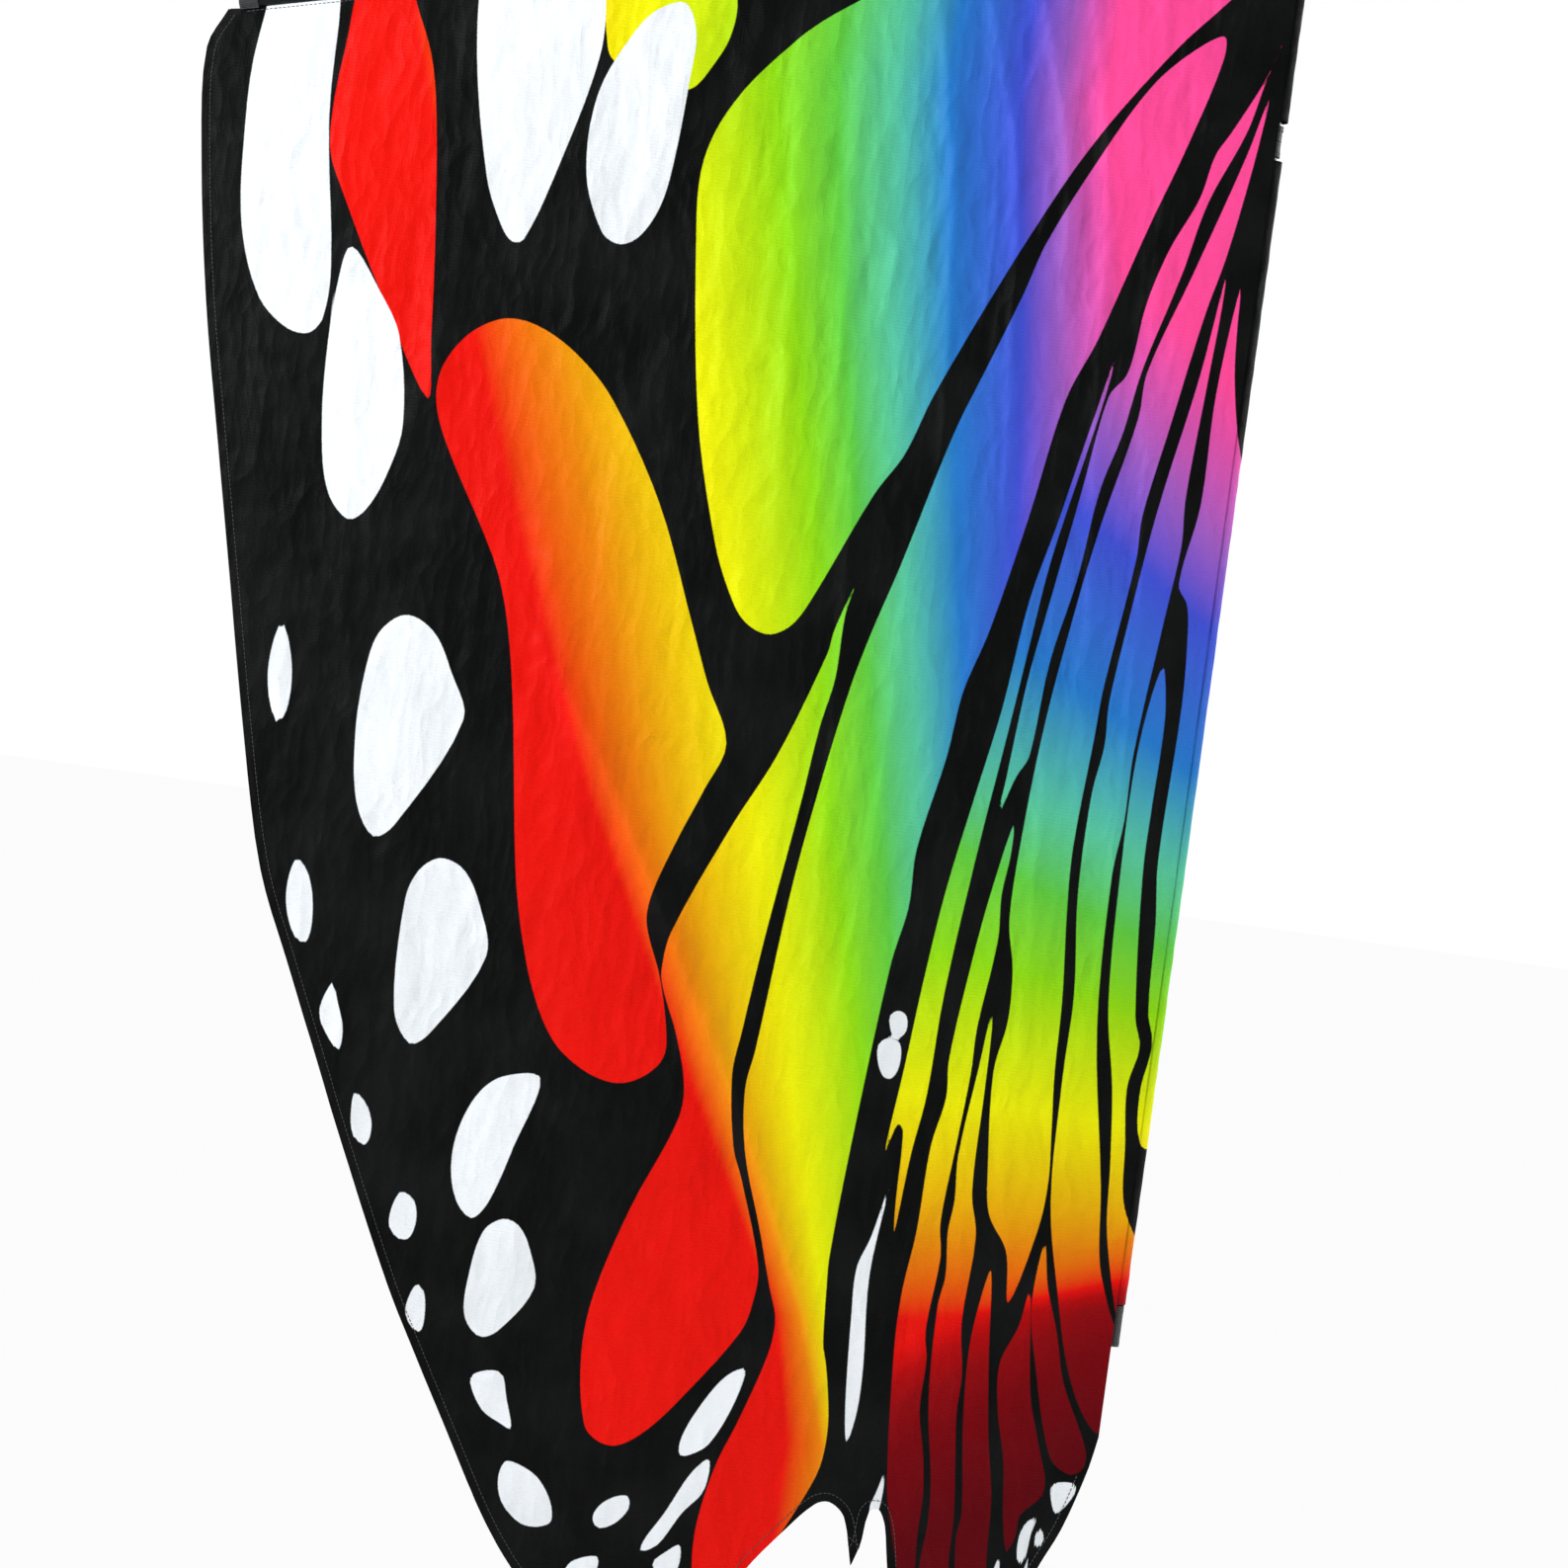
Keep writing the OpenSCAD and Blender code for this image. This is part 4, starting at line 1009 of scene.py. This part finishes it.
SAIL_AREA = float(((low_edge(ACROSS) - top_edge(ACROSS))[1:] * np.diff(ACROSS)).sum()) * MM**2
SLEEVE_RUNS = ((30, 630), (650, TIP_S))
SIDES = (("left", -1), ("right", 1))
SAIL_PRINT = printed(U, D)
for wing, side in SIDES:
    body = wing + "_wing"
    sail = lay_cloth(wing + "_sail_cloth", on_side(U, D, FOLD + LIFT, side), flip=side > 0, fields=SAIL_PRINT)
    finish(wing + "_sail_cloth", sail, body, "printed_sail", PRINTED, wing + "_sail")

    rows = []
    for inset, rise in ((0.05, -0.15), (0.05, 0.5), (2.5, 0.75), (HEM_W - 1, 0.75), (HEM_W, 0.45), (HEM_W, 0.1)):
        u, d = edge_run(inset)
        rows.append(on_side(u, d, FOLD + lift_at(u, d) - rise, side))
    hem = lay_cloth(wing + "_hem_tape", np.array(rows).transpose(1, 0, 2), flip=side < 0)
    finish(wing + "_hem_tape", hem, body, "black_cloth", BLACK_CLOTH, wing + "_hem")
    u, d = edge_run(HEM_W - 2.2)
    seams = [on_side(u, d, FOLD + lift_at(u, d) + out, side) for out in (-0.95, 0.12)]
    for start, end in SLEEVE_RUNS:
        s = between(start + 4, end - 4, 6)
        u, d = lead_at(s, LEAD_CLEAR + 2.6)
        seams += [on_side(u, d, FOLD + lift_at(u, d) + out, side) for out in (-0.12, 0.12)]
    stitches = sew(wing + "_sail_stitches", seams, body, slot="black_cloth")

    at_lead = [np.array(lead_at(s, LEAD_CLEAR + below)) for s, below in ((6, 0), (70, 0), (64, 22))]
    corners = [*at_lead, np.array((5.0, 64.0))]
    p, q = (grid[..., None] for grid in np.meshgrid(np.linspace(0, 1, 24), np.linspace(0, 1, 24)))
    spread = (1 - q) * ((1 - p) * corners[0] + p * corners[1]) + q * ((1 - p) * corners[3] + p * corners[2])
    rim = np.minimum(np.minimum(p, 1 - p), np.minimum(q, 1 - q))[..., 0]
    inward = 0.42 + 0.4 * step(0, 0.05, rim)
    patch = on_side(spread[..., 0], spread[..., 1], FOLD - inward, side)
    patch = lay_cloth(wing + "_nose_reinforcement", patch, flip=side < 0)
    finish(wing + "_nose_reinforcement", patch, body, "webbing", WEBBING, wing + "_nose_patch")

    sleeves = []
    for start, end in SLEEVE_RUNS:
        tube, _ = sewn_tube("sleeve", ring_section(4.2), ring_section(3.42), between(start, end, 4),
                            lambda section, s: along_lead(section, s, side), 0.35, 11.0, flip=side > 0)
        sleeves.append(tube)
    finish(wing + "_leading_edge", join(sleeves), body, "black_cloth", BLACK_CLOTH, wing + "_leading_sleeve")

    rows = []
    for s, outer, inner in ((-14, 4.7, 4.7), (-14, 5.15, 4.3), (-13, 5.25, 4.28), (-7, 5.2, 4.28), (-3, 5.25, 4.28),
                            (0.2, 5.25, 4.28), (0.9, 5.1, 4.2), (1.3, 4.6, 3.0), (1.5, 3.6, 1.2), (1.5, 0.6, 0.3)):
        loop = np.concatenate([ring_section(outer, 33, 0.24), ring_section(inner, 33, 0.24)[::-1]])
        rows.append(along_lead(loop, TIP_S + s, side))
    pocket = lay_cloth(wing + "_tip_pocket_webbing", np.array(rows), around=True, flip=side > 0)
    finish(wing + "_tip_pocket_webbing", pocket, body, "webbing", WEBBING, wing + "_tip_pocket")
    tacks = [along_lead(ring_section(5.3, 40, 0.5), TIP_S + s, side) for s in (-12.4, -10.8)]
    tacks = sew(wing + "_tip_pocket_stitches", tacks, body, pitch=2.2, length=1.7, thick=0.8, slot="webbing")

# ---- spine sleeve and pockets ----

lengths = []
for top, foot in ((-74, -209.7), (-242.3, -1178.1)):
    outer = drop_section(8.2, 13.0)
    stations = between(top, foot, 3.0)
    tube, points = sewn_tube("sleeve", outer, drop_section(7.4, 10.0), stations, down_spine, 0.45, 13.0)
    across, down = -points[..., 0], NOSE_Z - points[..., 2]
    fields = printed(across, down)
    hidden = points[..., 0] < -1.5
    for label in (*LAYERS, "spot"):
        fields[label][hidden] = 14
    put_fields(tube.data, fields)
    lengths.append(tube)
finish("spine_sleeve_cloth", join(lengths), "spine", "black_cloth", PRINTED, "spine_sleeve")


def pocket_section(radius, back, half):
    """A round front over the spine and a flat square back."""
    turn = np.linspace(-2.0, 2.0, 25)
    curve = np.stack([radius * np.cos(turn), radius * np.sin(turn)], -1)
    steps_back = np.linspace(0, 1, 6)[1:, None]
    corner = np.array([-back, half])
    upper = curve[-1] * (1 - steps_back) + corner * steps_back
    flat_back = [[-back - 0.4, half * 0.6], [-back - 0.5, 0.0], [-back - 0.4, -half * 0.6]]
    return np.concatenate([curve, upper, flat_back, (upper * (1, -1))[::-1]])


def spine_pocket(name, shut, mouth, replaced, slit):
    """A webbing pocket over one end of the spine, sewn shut across one end."""
    way = 1 if mouth > shut else -1
    section = pocket_section(7.25, 17.4, 2.4)
    rows = []
    for rise, wide, thick in ((0.0, 0.9, slit / 7.25), (0.0, 0.95, 0.5), (0.6, 0.985, 0.8), (2.2, 1.0, 0.97)):
        rows.append(down_spine(section * (wide, thick), shut + way * rise))
    for z in between(shut + way * 5, mouth - way * 0.6, 2.5):
        swell = 1 - 0.012 * (1 + noise(np.arange(len(section)) / 5.0, np.full(len(section), z / 9), 8))
        rows.append(down_spine(section * swell[:, None], z))
    for size, back in ((0.985, 0.0), (0.93, 0.1), (0.86, 0.8), (0.84, 9.0)):
        rows.append(down_spine(section * size, mouth - way * back))
    made = lay_cloth(name, np.array(rows), around=True, flip=way > 0)
    made = finish(name, made, "spine", "webbing", WEBBING, replaced)
    lines = [down_spine(np.concatenate([section, section[:1]]) * 1.003, mouth - way * off) for off in (2.6, 4.6)]
    lines += [down_spine(np.concatenate([section, section[:1]]) * 1.003, shut + way * 3.4)]
    sew(name + "_stitches", lines, "spine", pitch=2.6, length=2.0, thick=0.8, slot="webbing")


spine_pocket("nose_pocket_webbing", -21.0, -73.0, "nose_pocket", 1.5)
spine_pocket("tail_pocket_webbing", -1213.1, -1179.1, "tail_pocket", 0.5)

# ---- hanging loop ----

LOOP_MIDDLE = -7.0
LOOP_R = 7.7
loop = modelled(
    bpy.ops.mesh.primitive_circle_add, vertices=72, radius=LOOP_R * MM,
    location=(0, -5 * MM, LOOP_MIDDLE * MM), rotation=(math.pi / 2, 0, 0),
)
bpy.ops.object.transform_apply(location=True, rotation=True, scale=True)
bpy.ops.object.mode_set(mode="EDIT")
bpy.ops.mesh.select_all(action="SELECT")
for _ in range(5):
    bpy.ops.mesh.extrude_region_move(TRANSFORM_OT_translate={"value": (0, 2 * MM, 0)})
bpy.ops.object.mode_set(mode="OBJECT")
for vertex in loop.data.vertices:
    x, z = vertex.co.x / MM, vertex.co.z / MM
    if z < LOOP_MIDDLE - 3:
        fall = (LOOP_MIDDLE - 3 - z) / 4.7
        vertex.co.x *= 1 - 0.55 * fall * abs(x) / LOOP_R
bpy.ops.object.mode_set(mode="EDIT")
bpy.ops.mesh.select_all(action="SELECT")
bpy.ops.mesh.normals_make_consistent(inside=False)
bpy.ops.object.mode_set(mode="OBJECT")
add_modifier(loop, "SOLIDIFY", thickness=1.3 * MM, offset=0.0)
add_modifier(loop, "BEVEL", width=0.35 * MM, segments=2, limit_method="ANGLE", angle_limit=math.radians(50))
settle(loop)

tab = modelled(
    bpy.ops.mesh.primitive_cube_add, size=1,
    location=(0, 0, -22.8 * MM), scale=(9 * MM, 2.7 * MM, 16.2 * MM),
)
bpy.ops.object.transform_apply(location=True, rotation=True, scale=True)
bpy.ops.object.mode_set(mode="EDIT")
bpy.ops.mesh.subdivide(number_cuts=6)
pick(tab, lambda at: at.z > -17.5)
bpy.ops.transform.resize(value=(0.84, 1.7, 1.0), center_override=(0, 0, -15 * MM))
pick(tab, lambda at: at.z > -15.2)
bpy.ops.transform.resize(value=(0.86, 1.35, 1.0), center_override=(0, 0, -15 * MM))
bpy.ops.object.mode_set(mode="OBJECT")
add_modifier(tab, "BEVEL", width=0.5 * MM, segments=3, limit_method="ANGLE", angle_limit=math.radians(40))
settle(tab, 60)
finish("hang_loop_webbing", join([loop, tab]), "spine", "webbing", WEBBING, "hang_loop")
band = [[(-2.9, y, z), (2.9, y, z)] for z in (-16.6, -17.8, -19.0) for y in (-2.0, 2.0)]
sew("hang_loop_stitches", band, "spine", pitch=1.3, length=1.2, thick=0.8, slot="webbing")

# ---- keel ----

TOW = np.array([-215.0, -418.3])
CORNER_R, SEAM_X, KEEL_TOP, KEEL_FOOT = 14.0, -14.1, -256.3, -796.3


def touch(start, turn):
    """Where a line from the start touches the rounded tow corner."""
    away = TOW - start
    far = np.hypot(*away)
    lean = math.atan2(away[1], away[0]) + turn * math.asin(CORNER_R / far)
    return start + math.sqrt(far**2 - CORNER_R**2) * np.array([math.cos(lean), math.sin(lean)])


KEEL_A, KEEL_B = np.array([SEAM_X, KEEL_TOP]), np.array([SEAM_X, KEEL_FOOT])
TOUCH_A, TOUCH_B = touch(KEEL_A, -1), touch(KEEL_B, 1)
TURN_A, TURN_B = (math.atan2(*(point - TOW)[::-1]) % (2 * math.pi) for point in (TOUCH_A, TOUCH_B))
bend = np.linspace(TURN_A, TURN_B, 15)
KEEL_EDGE = np.concatenate([
    KEEL_A + np.linspace(0, 1, 60)[:-1, None] * (TOUCH_A - KEEL_A),
    TOW + CORNER_R * np.stack([np.cos(bend), np.sin(bend)], -1),
    TOUCH_B + np.linspace(0, 1, 100)[1:, None] * (KEEL_B - TOUCH_B),
])


def keel_ripple(x, z):
    """How far the keel's cloth stands off its flat plane."""
    free = step(SEAM_X, SEAM_X - 40, x) * step(10, 70, np.hypot(x - TOW[0], z - TOW[1]))
    return (0.75 * noise(x / 55, z / 80, 21) + 0.35 * noise(x / 14, z / 46, 22)) * free


def keel_inset(inset):
    """The keel's free edge moved into the cloth."""
    along = np.gradient(KEEL_EDGE, axis=0)
    along /= np.linalg.norm(along, axis=1)[:, None]
    return KEEL_EDGE + inset * np.stack([-along[:, 1], along[:, 0]], -1)


def keel_points(flat, stand):
    return np.stack([flat[..., 0], keel_ripple(flat[..., 0], flat[..., 1]) + stand, flat[..., 1]], -1)


seam_line = np.stack([np.full(len(KEEL_EDGE), SEAM_X + 1.0), np.linspace(KEEL_TOP, KEEL_FOOT, len(KEEL_EDGE))], -1)
outward = np.linspace(0, 1, 60)[None, :, None]
weave = seam_line[:, None] * (1 - outward) + keel_inset(0.2)[:, None] * outward
keel = lay_cloth("keel_cloth", keel_points(weave, 0.0))
finish("keel_cloth", keel, "spine", "black_cloth", black_taffeta("keel_taffeta"), "keel_panel")
rows = [keel_points(keel_inset(inset), stand) for inset, stand in (
    (8.0, 0.2), (8.0, 0.5), (4.0, 0.8), (0.6, 0.85), (-0.7, 0.45), (-0.9, 0.0),
    (-0.7, -0.45), (0.6, -0.85), (4.0, -0.8), (8.0, -0.5), (8.0, -0.2),
)]
binding = lay_cloth("keel_binding_tape", np.array(rows).transpose(1, 0, 2), flip=True)
finish("keel_binding_tape", binding, "spine", "binding", GROSGRAIN, "keel_binding")

normals = [(TOUCH_A - TOW) / CORNER_R, (TOUCH_B - TOW) / CORNER_R]
turn = np.linspace(0, 2 * math.pi, 97)
ray = np.stack([np.cos(turn), np.sin(turn)], -1)
to_edges = [np.where(ray @ n > 1e-3, 5.8 / np.maximum(ray @ n, 1e-3), 48.0) for n in normals]
reach = np.minimum.reduce([*to_edges, np.full(97, 47.5)])
patches, ring_lines = [], []
for face in (-1, 1):
    rows = []
    for share, stand in ((0.0, 0.3), (0.0, 0.8), (0.5, 0.84), (0.97, 0.82), (1.0, 0.6), (1.0, 0.3)):
        flat = TOW + ray * (4.75 + (reach - 4.75) * share)[:, None]
        rows.append(keel_points(flat, face * stand))
    patches.append(lay_cloth("patch", np.array(rows), flip=face > 0))
    rim = keel_points(TOW + ray * np.maximum(reach - 3.0, 4.8)[:, None], face * 0.98)
    ring_lines.append(rim[np.where(reach > 9)[0]])
    ring_lines += [keel_points(keel_inset(6.2), face * 0.92), keel_points(seam_line - (3.0, 0), face * 0.3)]
finish("keel_corner_patches", join(patches), "spine", "webbing", WEBBING, "keel_patches")
keel_seams = sew("keel_stitches", ring_lines, "spine", slot="binding")
